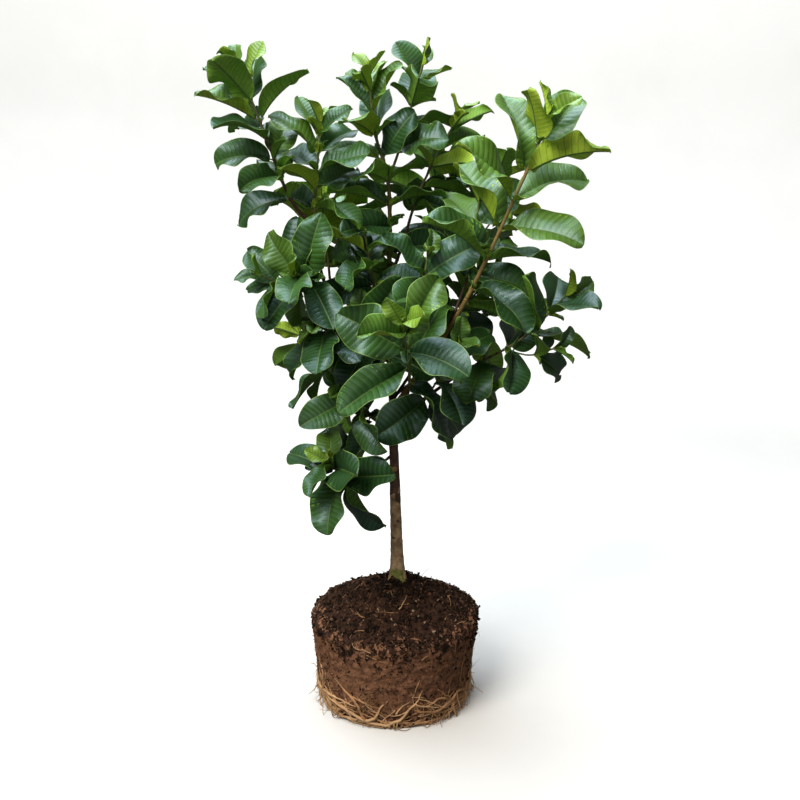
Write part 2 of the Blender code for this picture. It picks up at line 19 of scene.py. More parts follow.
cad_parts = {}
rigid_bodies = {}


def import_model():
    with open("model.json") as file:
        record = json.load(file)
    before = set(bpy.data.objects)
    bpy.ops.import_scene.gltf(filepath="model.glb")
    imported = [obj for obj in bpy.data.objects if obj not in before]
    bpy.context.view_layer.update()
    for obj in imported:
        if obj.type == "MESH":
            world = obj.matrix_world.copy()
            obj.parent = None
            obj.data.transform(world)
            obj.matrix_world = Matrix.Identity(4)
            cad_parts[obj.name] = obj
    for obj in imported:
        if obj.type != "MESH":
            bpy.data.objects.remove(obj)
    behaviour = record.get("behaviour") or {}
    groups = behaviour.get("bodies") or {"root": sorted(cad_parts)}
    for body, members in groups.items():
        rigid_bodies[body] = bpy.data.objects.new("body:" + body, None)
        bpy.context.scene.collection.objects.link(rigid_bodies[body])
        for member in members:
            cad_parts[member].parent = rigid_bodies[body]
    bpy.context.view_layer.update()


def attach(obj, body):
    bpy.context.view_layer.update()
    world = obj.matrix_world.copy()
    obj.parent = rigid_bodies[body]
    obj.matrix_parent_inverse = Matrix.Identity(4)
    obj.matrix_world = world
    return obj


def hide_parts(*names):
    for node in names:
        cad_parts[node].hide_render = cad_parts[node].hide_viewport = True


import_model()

# ---------------------------------------------------------------- the source's dimensions

RIM_RADIUS = 0.112  # the root ball, where the pot's rim was
FOOT_RADIUS = 0.101  # the root ball at its underside
RIM_HEIGHT = 0.122
SOIL_TOP = 0.160  # where the trunk leaves the soil
SEAT_RADIUS = 0.024  # the level patch of soil under the trunk
EDGE_ROUND = 0.009  # the rounding of the ball's lower and upper edges
TRUNK_FLARE = 0.0055  # how much the root flare adds to the trunk's radius
FLARE_HEIGHT = 0.014
COLLAR_HEIGHT = 0.006  # of the swelling at a bough's foot
LEAF_WIDTH = 0.62  # of a leaf's length
CROWN_MIDDLE = 0.03  # leaves before this depth face the front, and those behind it the back
GAP = 0.0003  # between solids that touch
SEED = 11

# One limb and the shoot that it turns into. "start" is a share of its parent's length, and
# "points" are the places that it passes through, the last one its tip. "radius" is at its foot
# and tip. The first "bare" share is a bough, and the rest carries "pairs" of leaves, which are
# "leaf" long when full grown. "turn" aims the plane of the pairs: 0 is left and right, 90 front
# and back. "sides" is how many side shoots it has.
# An axis with no bare part is a branch of its parent's own mass of foliage.
Axis = namedtuple("Axis", "name parent start points radius bare pairs leaf turn sides")

AXES = (
    Axis("trunk", None, 0, ((0.004, 0, SOIL_TOP), (0.001, 0, 0.27), (-0.003, 0, 0.43)),
         (0.0088, 0.0046), 1.0, 0, 0, 0, 0),
    Axis("centre", "trunk", 1.0,
         ((-0.006, 0, 0.57), (-0.007, 0, 0.68), (-0.023, 0, 0.741), (-0.030, -0.010, 0.812)),
         (0.0046, 0.0012), 0.40, 9, 0.076, 30, 0),
    Axis("centre_top", "centre", 0.66, ((0.009, 0.010, 0.73), (0.034, 0.010, 0.820)),
         (0.0018, 0.0011), 0.0, 6, 0.076, 60, 0),
    Axis("centre_right", "centre", 0.35,
         ((0.010, 0.020, 0.605), (0.032, 0.030, 0.672), (0.079, 0.040, 0.762)),
         (0.0024, 0.0011), 0.40, 6, 0.074, 0, 1),
    Axis("inner_left", "centre", 0.22, ((-0.024, -0.030, 0.560), (-0.034, -0.048, 0.622)),
         (0.0022, 0.0011), 0.40, 4, 0.074, 30, 0),
    Axis("centre_low", "centre", 0.03, ((-0.022, -0.040, 0.480), (-0.040, -0.078, 0.528)),
         (0.0020, 0.0011), 0.40, 4, 0.080, 30, 0),
    Axis("inner_front", "centre", 0.10, ((0.022, -0.035, 0.51), (0.040, -0.065, 0.600)),
         (0.0022, 0.0011), 0.42, 4, 0.078, 40, 0),
    Axis("left", "trunk", 0.94,
         ((-0.061, -0.020, 0.504), (-0.094, -0.030, 0.61), (-0.086, -0.030, 0.755)),
         (0.0032, 0.0011), 0.70, 6, 0.074, 0, 0),
    Axis("left_top", "left", 0.66,
         ((-0.123, -0.045, 0.667), (-0.150, -0.055, 0.744), (-0.176, -0.062, 0.812)),
         (0.0024, 0.0011), 0.18, 8, 0.078, 30, 0),
    Axis("left_middle", "left", 0.50, ((-0.098, -0.065, 0.570), (-0.112, -0.098, 0.582)),
         (0.0018, 0.0011), 0.35, 5, 0.084, 45, 1),
    Axis("left_low", "left", 0.26, ((-0.068, -0.058, 0.508), (-0.090, -0.095, 0.522)),
         (0.0018, 0.0011), 0.35, 4, 0.078, 90, 0),
    Axis("left_inner", "left", 0.40, ((-0.084, 0.022, 0.590), (-0.092, 0.055, 0.650)),
         (0.0020, 0.0011), 0.35, 4, 0.084, 60, 0),
    Axis("right", "trunk", 0.88,
         ((0.077, -0.070, 0.535), (0.142, -0.100, 0.683), (0.170, -0.109, 0.758)),
         (0.0037, 0.0014), 0.46, 7, 0.098, 0, 0),
    Axis("right_inner", "right", 0.34, ((0.092, -0.055, 0.590), (0.100, -0.045, 0.665)),
         (0.0020, 0.0011), 0.35, 4, 0.080, 0, 0),
    Axis("right_rear", "centre", 0.14,
         ((0.068, 0.030, 0.566), (0.112, 0.055, 0.640), (0.142, 0.075, 0.690)),
         (0.0026, 0.0011), 0.42, 5, 0.090, 30, 1),
    Axis("right_middle", "trunk", 0.925, ((0.050, -0.015, 0.49), (0.120, -0.030, 0.575)),
         (0.0023, 0.0011), 0.42, 5, 0.080, 0, 1),
    Axis("right_low", "trunk", 0.82,
         ((0.080, -0.030, 0.45), (0.154, -0.050, 0.499), (0.206, -0.060, 0.555)),
         (0.0026, 0.0011), 0.46, 5, 0.092, 70, 1),
    Axis("front", "trunk", 0.85, ((0.018, -0.075, 0.445), (0.010, -0.160, 0.537)),
         (0.0027, 0.0011), 0.45, 5, 0.098, 0, 0),
    Axis("front_low", "trunk", 0.78, ((-0.030, -0.045, 0.400), (-0.060, -0.088, 0.446)),
         (0.0018, 0.0011), 0.40, 4, 0.078, 60, 0),
    Axis("front_right", "trunk", 0.72, ((0.041, -0.050, 0.428), (0.076, -0.090, 0.500)),
         (0.0020, 0.0011), 0.45, 4, 0.084, 90, 0),
    Axis("lower_left", "trunk", 0.66,
         ((-0.040, -0.030, 0.318), (-0.065, -0.047, 0.326), (-0.080, -0.058, 0.344)),
         (0.0020, 0.0011), 0.62, 6, 0.084, 90, 0),
    Axis("back_left", "centre", 0.05, ((-0.052, 0.070, 0.55), (-0.092, 0.120, 0.665)),
         (0.0026, 0.0011), 0.42, 5, 0.084, 0, 1),
    Axis("back_right", "centre", 0.24, ((0.040, 0.075, 0.60), (0.060, 0.125, 0.705)),
         (0.0024, 0.0011), 0.42, 5, 0.088, 30, 1),
    Axis("back_low", "trunk", 0.90, ((0.005, 0.080, 0.45), (0.0, 0.150, 0.535)),
         (0.0024, 0.0011), 0.42, 5, 0.084, 45, 1),
    Axis("back_low_left", "trunk", 0.76, ((-0.069, 0.050, 0.413), (-0.130, 0.085, 0.482)),
         (0.0022, 0.0011), 0.42, 4, 0.078, 0, 1),
    Axis("back_low_right", "trunk", 0.94, ((0.072, 0.060, 0.46), (0.145, 0.100, 0.53)),
         (0.0022, 0.0011), 0.42, 4, 0.084, 0, 1),
)

# ---------------------------------------------------------------- growth rule

# A leaf: where its stalk leaves the stem, the way it points there, the way its upper face looks,
# its size, how far it arches back, how deep it folds along the midrib, and its age, from 0 at a
# shoot's tip to 1 at its lowest pair. Angles are in radians.
Leaf = namedtuple("Leaf", "foot out face length width droop fold age")

CURVE_STEPS = 16  # line pieces between two points of a limb
COLLAR = 0.25  # the swelling at a bough's foot, as a share of its radius
TIP_CROWDING = 1.12  # above 1, pairs of leaves sit closer towards the tip
LAST_PAIR = 0.985  # the highest place of a pair on its shoot
CROSSING = 66  # the degrees between the planes of one pair and the next
LIFT = (26, 40, 34)  # a leaf's degrees from its stem when young, more when old, and more low down
HANGING = (0.60, 0.42)  # heights at which leaves start to hang, and hang in full
SAG = (0.08, 0.18)  # how far an old leaf's weight pulls it down, and more low down
LIGHT = (0.40, 0.45, 0.30, 0.45)  # how far it faces along its stem, outwards, more low down, and up
ROLL = 42  # the most degrees that a leaf rolls to either side
YOUNG = 0.36  # the size of a leaf that is just out
FULL_GROWN = 0.34  # the age from which a leaf has its full size
DROOP = (16, 30)  # the degrees that a leaf arches back when young, and more when old
FOLD = (14, 36)  # the least and most degrees that each half is folded up
LEAF_SPACE = 1.04  # how far from its stem a leaf's tip may reach, in full-grown lengths
TRIES = 20  # ways that a leaf is turned before it is left out
CLEARANCE = 0.0008  # that a leaf keeps on each side from all else
FREE_FROM = 0.16  # the share of a leaf, from its foot, that lies too near its stem to be tested
LIMB_STEP, LIMB_SIDES = 0.02, 5  # of the tubes that stand for limbs in that test
SIDE_SHOOT = (0.035, 0.030)  # the length of a side shoot at the tip, and more at the foot
SIDE_PAIRS = 3
SIDE_LEAF = 0.72  # the size of a side shoot's leaves


class Curve:
    """A smooth line through points, read by the share of its length."""

    def __init__(self, points):
        knots = [Vector(p) for p in points]
        ends = [knots[0] * 2 - knots[1], *knots, knots[-1] * 2 - knots[-2]]
        self.line = [knots[0]]
        for a, b, c, d in zip(ends, ends[1:], ends[2:], ends[3:]):
            for step in range(1, CURVE_STEPS + 1):
                t = step / CURVE_STEPS
                bend = (2 * a - 5 * b + 4 * c - d) * t**2 + (3 * b - a - 3 * c + d) * t**3
                self.line.append(b + 0.5 * ((c - a) * t + bend))
        self.run = [0.0]
        for a, b in zip(self.line, self.line[1:]):
            self.run.append(self.run[-1] + (b - a).length)
        self.length = self.run[-1]

    def at(self, share):
        """The point and the direction there."""
        goal = min(max(share, 0.0), 1.0) * self.length
        i = next((k for k in range(1, len(self.run) - 1) if self.run[k] >= goal), len(self.run) - 1)
        ahead = (self.line[i] - self.line[i - 1]).normalized()
        return self.line[i - 1] + ahead * (goal - self.run[i - 1]), ahead


def girth(axis, curve, share):
    """The radius of a limb: an even taper, with a collar at its foot or the trunk's root flare."""
    foot, tip = axis.radius
    if axis.parent is None:
        return foot + (tip - foot) * share + TRUNK_FLARE * exp(-share * curve.length / FLARE_HEIGHT)
    collar = COLLAR * foot if axis.start < 1 else 0.0
    return foot + (tip - foot) * share**0.9 + collar * exp(-share * curve.length / COLLAR_HEIGHT)


def around(ahead, angle):
    """The direction square to a stem at an angle round it: 0 is to the left, 90 to the front."""
    left = ahead.cross(Vector((0, 1, 0))).normalized()
    front = ahead.cross(left)
    return left * cos(radians(angle)) + front * sin(radians(angle))


def midrib(leaf, share):
    """The point, direction, upper side and right-hand side of a leaf at a share of its midrib."""
    angle = leaf.droop * share
    bend = leaf.length / leaf.droop
    spot = leaf.foot + leaf.out * bend * sin(angle) - leaf.face * bend * (1 - cos(angle))
    ahead = leaf.out * cos(angle) - leaf.face * sin(angle)
    face = leaf.face * cos(angle) + leaf.out * sin(angle)
    return spot, ahead, face, ahead.cross(face)


STATIONS = ((0.30, 0.90), (0.74, 0.88))  # a blade's sections: share of length, share of half width
STALK = 0.06  # the share of a leaf's length that is its stalk
STALK_RADIUS = 0.0009
LEAF_SINK = 0.0012  # that a stalk's foot lies under its stem's surface
BLADE_DEPTH = 0.011  # a blade's thickness at its midrib, as a share of its length


def blade(leaf, margin=0.0, first=0.0):
    """A leaf as a closed shape with a flat upper side, a keel below and a straight stalk."""
    points = []
    spot, ahead, face, side = midrib(leaf, max(STALK, first))
    reach, depth = side * (STALK_RADIUS + margin), face * (STALK_RADIUS + margin)
    for back in (STALK * leaf.length if first < STALK else 0.0, 0.0):
        middle = spot - ahead * back
        points += [middle - reach + depth * 0.6, middle - depth, middle + reach + depth * 0.6]
    for share, width in STATIONS:
        spot, _, face, side = midrib(leaf, share)
        reach = side * (width * leaf.width / 2 + margin)
        rise = face * (width * leaf.width / 2 * sin(leaf.fold) * 0.5 + margin)
        depth = face * (BLADE_DEPTH * leaf.length + margin)
        points += [spot - reach + rise, spot + rise - depth, spot + reach + rise]
    points.append(midrib(leaf, 1.0)[0])
    faces = [(0, 1, 4, 3), (1, 2, 5, 4), (2, 0, 3, 5), (2, 1, 0)]
    for left in range(3, len(points) - 4, 3):
        under, right = left + 1, left + 2
        faces += [(left, under + 3, left + 3), (left, under, under + 3)]
        faces += [(right, right + 3, under + 3), (right, under + 3, under)]
        faces += [(left, left + 3, right + 3), (left, right + 3, right)]
    last = len(points) - 1
    faces += [(last - 3, last - 2, last), (last - 2, last - 1, last), (last - 1, last - 3, last)]
    return points, faces


def tube(curve, shares, radii, sides):
    """A closed tube round a curve that doesn't twist. Returns points and faces."""
    points, side = [], None
    for share, radius in zip(shares, radii):
        spot, ahead = curve.at(share)
        side = side if side else ahead.orthogonal()
        side = (side - ahead * side.dot(ahead)).normalized()
        other = ahead.cross(side)
        for angle in (tau * k / sides for k in range(sides)):
            points.append(spot + (side * cos(angle) + other * sin(angle)) * radius)
    faces = [tuple(range(sides)), tuple(range(len(points) - sides, len(points)))]
    for foot in range(0, len(points) - sides, sides):
        for k in range(sides):
            a, b = foot + k, foot + (k + 1) % sides
            faces += [(a, b, b + sides), (a, b + sides, a + sides)]
    return points, faces


def wrap(shape):
    """A shape's middle, its reach from there and its tree of faces."""
    points, faces = shape
    middle = sum(points, Vector()) / len(points)
    return middle, max((p - middle).length for p in points), BVHTree.FromPolygons(points, faces)


def is_free(held, mass, whole, outer):
    """Whether all of a leaf is clear of other masses, and its outer part of its own mass."""
    for other, (middle, reach, tree) in held:
        mine = outer if other == mass else whole
        if (middle - mine[0]).length < reach + mine[1] and tree.overlap(mine[2]):
            return False
    return True


def even(first, last, most):
    """Shares from first to last in equal steps."""
    return [first + (last - first) * k / most for k in range(most + 1)]


def node_shares(axis):
    """Where the pairs of leaves sit, closer together towards the tip, with each pair's age."""
    found = []
    for pair in range(axis.pairs):
        age = max(0.0, 1 - (pair + 0.35) / (axis.pairs - 0.45))
        share = axis.bare + (1 - axis.bare) * (1 - age**TIP_CROWDING)
        found.append((min(share, LAST_PAIR), age))
    return found


def side_axes(axis, curve, dice):
    """The side shoots of an axis, from the axils of its lower leaves."""
    grown = []
    nodes = node_shares(axis)
    for k in range(axis.sides):
        share, age = nodes[min(1 + 2 * k, axis.pairs - 2)]
        foot, ahead = curve.at(share)
        angle = axis.turn + dice.choice((90, 270))
        reach = (SIDE_SHOOT[0] + SIDE_SHOOT[1] * age) * dice.uniform(0.9, 1.2)
        out = (ahead * 0.75 + around(ahead, angle) * 0.66) * reach
        points = (foot + out * 0.5, foot + out + Vector((0, 0, 0.25 * reach)))
        radius = (girth(axis, curve, share) * 0.7, 0.0009)
        leaf, turn = axis.leaf * SIDE_LEAF, dice.uniform(0, 90)
        name = f"{axis.name}_side{k + 1}"
        grown.append(Axis(name, axis.name, share, points, radius, 0.0, SIDE_PAIRS, leaf, turn, 0))
    return grown


def all_axes():
    """Every axis with its curve, side shoots included, each after its parent."""
    grown, curves = [], {}
    for axis in AXES:
        dice = random.Random(f"{SEED} sides {axis.name}")
        points = axis.points
        if axis.parent:
            points = (curves[axis.parent].at(axis.start)[0], *points)
        curves[axis.name] = Curve(points)
        grown.append(axis)
        for side in side_axes(axis, curves[axis.name], dice):
            foot = curves[axis.name].at(side.start)[0]
            curves[side.name] = Curve((foot, *side.points))
            grown.append(side)
    return grown, curves


def leaf_at(axis, curve, share, age, angle, dice):
    """One leaf of a pair, grown from the stem at an angle round it."""
    foot, ahead = curve.at(share)
    low = min(max((HANGING[0] - foot.z) / (HANGING[0] - HANGING[1]), 0.0), 1.0)
    lift = radians(LIFT[0] + (LIFT[1] + LIFT[2] * low) * age + dice.uniform(-9, 9))
    out = ahead * cos(lift) + around(ahead, angle) * sin(lift)
    out = (out - Vector((0, 0, (SAG[0] + SAG[1] * low) * age))).normalized()
    outside = Vector((0.5 * foot.x, foot.y - CROWN_MIDDLE, 0)).normalized()
    light = ahead * LIGHT[0] + outside * (LIGHT[1] + LIGHT[2] * low) + Vector((0, 0, LIGHT[3]))
    face = (light - out * light.dot(out)).normalized()
    face = Quaternion(out, radians(dice.uniform(-ROLL, ROLL))) @ face
    size = min(1.0, YOUNG + (1 - YOUNG) * age / FULL_GROWN) * dice.uniform(0.88, 1.10)
    length = axis.leaf * size
    width = length * LEAF_WIDTH * dice.uniform(0.92, 1.08)
    droop = radians(DROOP[0] + DROOP[1] * age + dice.uniform(-10, 14))
    fold = radians(dice.uniform(*FOLD))
    sunk = foot + out * max(0.0, girth(axis, curve, share) - LEAF_SINK)
    return Leaf(sunk, out, face, length, width, droop, fold, age)


def grow_pair_leaf(axis, curve, pair, side, held, mass):
    """One leaf, turned until it is clear of all that is grown, or None."""
    share, age = node_shares(axis)[pair]
    dice = random.Random(f"{SEED} {axis.name} {pair} {side}")
    plane = axis.turn + (CROSSING if pair % 2 else -CROSSING) / 2
    for attempt in range(TRIES):
        swing = 4 + 3 * attempt
        leaf = leaf_at(axis, curve, share, age, plane + side + dice.uniform(-swing, swing), dice)
        whole = wrap(blade(leaf, CLEARANCE))
        strays = (midrib(leaf, 1.0)[0] - curve.at(share)[0]).length > LEAF_SPACE * axis.leaf
        if not strays and is_free(held, mass, whole, wrap(blade(leaf, CLEARANCE, FREE_FROM))):
            held.append((mass, whole))
            return leaf
    return None


def grow_leaves(axes, curves):
    """The leaves of every axis, by axis name. A leaf that can't be turned clear is left out."""
    masses = {axis.name: axis.name if axis.bare else axis.parent for axis in axes}
    held, grown = [], {}
    for axis in axes:
        curve = curves[axis.name]
        shares = even(0.0, 1.0, max(4, round(curve.length / LIMB_STEP)))
        radii = [girth(axis, curve, s) + CLEARANCE for s in shares]
        held.append((masses[axis.name], wrap(tube(curve, shares, radii, LIMB_SIDES))))
    for axis in axes:
        tried = [
            grow_pair_leaf(axis, curves[axis.name], pair, side, held, masses[axis.name])
            for pair in range(axis.pairs)
            for side in (0, 180)
        ]
        grown[axis.name] = [leaf for leaf in tried if leaf]
    return grown


# ---------------------------------------------------------------- meshes


class Pile:
    """Points and four-cornered faces for one mesh, and the number of each face's material."""

    def __init__(self):
        self.points, self.quads, self.roles, self.count = [], [], [], 0

    def add(self, points, quads, roles=0):
        self.points.append(np.asarray(points, float).reshape(-1, 3))
        self.quads.append(np.asarray(quads) + self.count)
        self.roles.append(np.broadcast_to(roles, len(quads)))
        self.count += len(self.points[-1])

    def build(self, name, materials, smooth=True):
        """Makes the mesh object."""
        mesh = bpy.data.meshes.new(name)
        mesh.from_pydata(np.concatenate(self.points).tolist(), [], np.concatenate(self.quads).tolist())
        mesh.polygons.foreach_set("material_index", np.concatenate(self.roles).astype(int))
        if smooth:
            mesh.shade_smooth()
        for material in materials:
            mesh.materials.append(material)
        piece = bpy.data.objects.new(name, mesh)
        bpy.context.scene.collection.objects.link(piece)
        return piece

    def dress(self, name, materials, slot, node, smooth=True):
        """Makes a piece that rides on the plant's one body and stands for the named node."""
        piece = self.build(name, materials, smooth)
        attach(piece, "root")
        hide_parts(node)


def unit(vectors):
    """The vectors at a length of 1."""
    return vectors / np.linalg.norm(vectors, axis=-1, keepdims=True)


def ring_quads(rings, sides, open_end=False):
    """The faces of a tube of rings, with its ends closed, or the last one open. Sides are even."""
    ring, k = np.meshgrid(np.arange(rings - 1), np.arange(sides), indexing="ij")
    a, b = ring * sides + k, ring * sides + (k + 1) % sides
    wall = np.stack([a, b, b + sides, a + sides], axis=-1).reshape(-1, 4)
    i = np.arange(sides // 2 - 1)
    cap = np.stack([i, i + 1, sides - 2 - i, sides - 1 - i], axis=-1)
    return np.concatenate([wall, cap[:, ::-1]] + ([] if open_end else [cap + (rings - 1) * sides]))


def tube_points(middles, radii, sides):
    """The points of a tube round a line, without twist, with a radius for each ring."""
    middles = np.asarray(middles, float)
    ahead = unit(np.gradient(middles, axis=0))
    side = np.array(Vector(ahead[0]).orthogonal().normalized())
    angles = tau * np.arange(sides) / sides
    points = []
    for middle, way, radius in zip(middles, ahead, radii):
        side = unit(side - way * side.dot(way))
        ring = np.outer(np.cos(angles), side) + np.outer(np.sin(angles), np.cross(way, side))
        points.append(middle + ring * radius)
    return np.concatenate(points)


def stretch(axis, curve, first, last, spacing):
    """Shares, middles and radii along a stretch of an axis."""
    count = max(4, round((last - first) * curve.length / spacing))
    shares = even(first, last, count)
    return shares, [curve.at(s)[0] for s in shares], np.array([girth(axis, curve, s) for s in shares])


def roughen(points, waves, seed):
    """Noise from -1 to 1 at each point."""
    shift = Vector((seed * 7.3, seed * 3.1, seed * 5.7))
    return np.array([noise.noise(Vector(p) * waves + shift) for p in points])


# ---------------------------------------------------------------- materials


def fill(node, **sockets):
    """Sets a shader node's sockets to values, or joins them to other nodes' sockets."""
    for name, value in sockets.items():
        socket = node.inputs[name.replace("_", " ")]
        if isinstance(value, bpy.types.NodeSocket):
            node.id_data.links.new(value, socket)
        else:
            socket.default_value = value
    return node


def material(name, colours, waves, rough, bump=0.0, bump_waves=0, shine=0.5, **sockets):
    """A mottled material: colours are spread by noise, and rough runs between two values.

    colours are pairs of a place from 0 to 1 and a linear colour. sockets set the shader's own.
    """
    made = bpy.data.materials.new(name)
    made.use_nodes = True
    nodes = made.node_tree.nodes
    where = nodes.new("ShaderNodeTexCoord").outputs["Object"]
    mottle = fill(nodes.new("ShaderNodeTexNoise"), Vector=where, Scale=waves, Detail=5.0, Roughness=0.6)
    mottle = mottle.outputs["Fac"]
    ramp = fill(nodes.new("ShaderNodeValToRGB"), Fac=mottle)
    for stop, (place, colour) in zip(ramp.color_ramp.elements, colours):
        stop.position, stop.color = place, (*colour, 1.0)
    gloss = fill(nodes.new("ShaderNodeMapRange"), Value=mottle, From_Min=0.3, From_Max=0.7,
                 To_Min=rough[0], To_Max=rough[1])
    shader = fill(nodes["Principled BSDF"], Base_Color=ramp.outputs["Color"],
                  Roughness=gloss.outputs["Result"], Specular_IOR_Level=shine, **sockets)
    if bump:
        grain = fill(nodes.new("ShaderNodeTexNoise"), Vector=where, Scale=bump_waves, Detail=4.0)
        relief = fill(nodes.new("ShaderNodeBump"), Height=grain.outputs["Fac"], Strength=1.0, Distance=bump)
        fill(shader, Normal=relief.outputs["Normal"])
    return made


def blend(dark, light, edge=0.30):
    """A darker and a lighter mottle."""
    return ((edge, dark), (1 - edge, light))


def pair(colour, spread):
    """A darker and a lighter mottle of one colour."""
    return blend(*(tuple(c * (1 + side * spread) for c in colour) for side in (-1, 1)), 0.35)


# Colours, waves of the mottle per metre, roughness, height and waves of the grain, and shine.
SURFACES = {
    "twig_green": (pair((0.170, 0.210, 0.050), 0.25), 60, (0.50, 0.65), 0.0003, 500),
    "twig_olive": (pair((0.130, 0.120, 0.040), 0.30), 60, (0.50, 0.65), 0.0003, 500),
    "twig_brown": (pair((0.085, 0.055, 0.028), 0.30), 60, (0.55, 0.70), 0.0003, 500),
    "twig_ochre": (pair((0.275, 0.185, 0.055), 0.30), 60, (0.50, 0.65), 0.0003, 500),
    "bark_grey": (blend((0.230, 0.130, 0.070), (0.740, 0.520, 0.310)), 110, (0.70, 0.88), 0.0006, 500, 0.2),
    "bark_dark": (pair((0.110, 0.058, 0.036), 0.50), 110, (0.65, 0.82), 0.0006, 500),
    "bark_moss": (pair((0.190, 0.200, 0.045), 0.50), 160, (0.80, 0.95), 0.0005, 700),
    "bark_scar": (pair((0.400, 0.230, 0.080), 0.30), 160, (0.70, 0.85), 0.0005, 700),
    "bough_bark": (pair((0.080, 0.044, 0.027), 0.40), 90, (0.65, 0.80), 0.0005, 600),
    "soil_side": (blend((0.100, 0.045, 0.023), (0.360, 0.175, 0.096)), 110, (0.88, 0.97), 0.0012, 500, 0.2),
    # The dark soil of the loose top, also used near the foot as painted shade between the roots.
    "soil_top": (blend((0.012, 0.006, 0.003), (0.078, 0.036, 0.022)), 120, (0.88, 0.98), 0.0012, 700, 0.2),
    "crumb_black": (pair((0.012, 0.006, 0.003), 0.40), 90, (0.85, 0.95), 0, 0, 0.2),
    "crumb_brown": (pair((0.042, 0.020, 0.011), 0.40), 90, (0.85, 0.95), 0, 0, 0.2),
    "crumb_bark": (pair((0.105, 0.050, 0.026), 0.40), 90, (0.80, 0.90), 0, 0, 0.3),
    "crumb_grit": (pair((0.300, 0.200, 0.130), 0.30), 90, (0.70, 0.85)),
    "root_tan": (pair((0.420, 0.220, 0.095), 0.35), 60, (0.55, 0.70), 0.0003, 500),
    "root_pale": (pair((0.580, 0.350, 0.175), 0.30), 60, (0.55, 0.70), 0.0003, 500),
    "root_brown": (pair((0.220, 0.100, 0.036), 0.35), 60, (0.60, 0.75), 0.0003, 500),
    "root_dark": (pair((0.050, 0.028, 0.018), 0.30), 60, (0.70, 0.85)),
}


def surfaces(kind):
    """The materials of one kind, in the table's order."""
    return [material(name, *row) for name, row in SURFACES.items() if name.startswith(kind)]


# Tones of leaves, from old and in painted shade to just out: the upper side and the underside.
# The darker tones are painted shade for low and inner leaves, the brighter ones painted light for high and
# outer leaves.
TONES = {
    # The undersides are paler in themselves, and lighter still as painted light that stands for light
    # through the leaf and from below.
    "shaded": ((0.011, 0.037, 0.006), (0.075, 0.180, 0.018)),
    "deep": ((0.020, 0.064, 0.008), (0.115, 0.260, 0.026)),
    "full": ((0.036, 0.098, 0.011), (0.175, 0.370, 0.036)),
    "fresh": ((0.086, 0.180, 0.014), (0.320, 0.490, 0.032)),
    "young": ((0.185, 0.310, 0.024), (0.370, 0.530, 0.040)),
}

BLOOM = (0.58, 0.82, 1.0, 1.0)  # the bluish sheen of the wax on the upper side
WAX = {"shine": 0.70, "Specular_Tint": BLOOM, "Coat_Weight": 0.15, "Coat_Roughness": 0.25}
# Painted light and shade on the upper side: a lighter colour on one slope of each pleat, a darker one in
# the vein grooves.
PAINTED_SHEEN, PAINTED_GROOVE_SHADE, UNDER_VEIN = 1.22, 0.66, 0.62  # how bright these are by their side's own colour
PAINTED_SHEEN_LIFT = (0.005, 0.012, 0.014)  # painted light added on one slope of each pleat
SATIN = (0.33, 0.43)


def shade(colour, share, more=(0.0, 0.0, 0.0)):
    """A share of a colour's light, and a little more."""
    return tuple(c * share + m for c, m in zip(colour, more))


def leaf_materials():
    """For each tone: its upper side, its pleats' painted sheen, its vein grooves' painted shade, its
    underside and veins.

    The last three are the rib, the margin and the stalk.
    """
    made = []
    for tone, (upper, lower) in TONES.items():
        # The second colour is painted sheen on one slope of each pleat, the third painted shade in the vein
        # grooves.
        painted_sheen, line, vein = shade(upper, PAINTED_SHEEN, PAINTED_SHEEN_LIFT), shade(upper, PAINTED_GROOVE_SHADE), shade(lower, UNDER_VEIN)
        made += [
            material(f"leaf_{tone}_upper", pair(upper, 0.25), 40, SATIN, 0.0003, 900, **WAX),
            material(f"leaf_{tone}_slope", pair(painted_sheen, 0.20), 40, SATIN, 0.0003, 900, **WAX),
            material(f"leaf_{tone}_line", pair(line, 0.20), 60, (0.30, 0.40), **WAX),
            material(f"leaf_{tone}_lower", pair(lower, 0.18), 45, (0.55, 0.68), 0.0003, 700),
            material(f"leaf_{tone}_vein", pair(vein, 0.15), 60, (0.55, 0.65)),
        ]
    return made + [
        material("leaf_rib", pair((0.078, 0.155, 0.032), 0.20), 80, (0.42, 0.55)),
        material("leaf_margin", pair((0.190, 0.330, 0.070), 0.20), 80, (0.45, 0.55)),
        material("leaf_stalk", pair((0.200, 0.290, 0.060), 0.25), 80, (0.45, 0.60)),
    ]


# ---------------------------------------------------------------- leaves

THICKNESS = 0.00036
RIM_THICKNESS = 0.00016
COLUMNS = (0.0, 0.03, 0.22, 0.46, 0.72, 0.965, 1.0)  # shares of a half's width
PHASES = (0.07, 0.50, 0.93)  # rows between one vein and the next
VEINS = ((0.048, 13), (0.026, 9), (0.0, 5))  # a leaf longer than this has so many
SLANT = 0.10  # how far a vein climbs on its way to the margin, as a share of the length
ARCH = 1.05  # how much more a leaf arches back than the source's plainer blade
SWERVE = 0.07  # the most that a tip lies to one side, as a share of the length
TWIST = 0.45  # the most that it is twisted, in radians
BULGE = (2.0, 2.4)  # the outline's power: a higher one is fuller
WIDEST = (0.94, 1.10)  # a higher one moves the widest part towards the tip
TIP, FOOT_END = (0.48, 0.72), 0.60  # how pointed the ends are
HALVES = (0.7, 1.6)  # how much more or less each half is folded
CREASED, CREASE = 0.35, (1.4, 2.2)  # how many leaves have one half folded more, and how much more
MOST_FOLD = 1.2  # that a half is folded up, in radians
WAVES, WAVE_HEIGHT = (1.2, 2.4), (0.05, 0.14)  # of the margin: how many, and how high in widths
PLEAT = 0.0150  # the height between two veins, as a share of the length
GROOVE = 0.0005  # how deep the rib lies
KEEL, KEEL_SIDE = 0.0010, 0.0004  # the rib's thickness below
PARTS = 5  # materials of each tone
RIB, MARGIN, LEAF_STALK = (len(TONES) * PARTS + k for k in range(3))

Grid = namedtuple("Grid", "along across pleat quads roles")


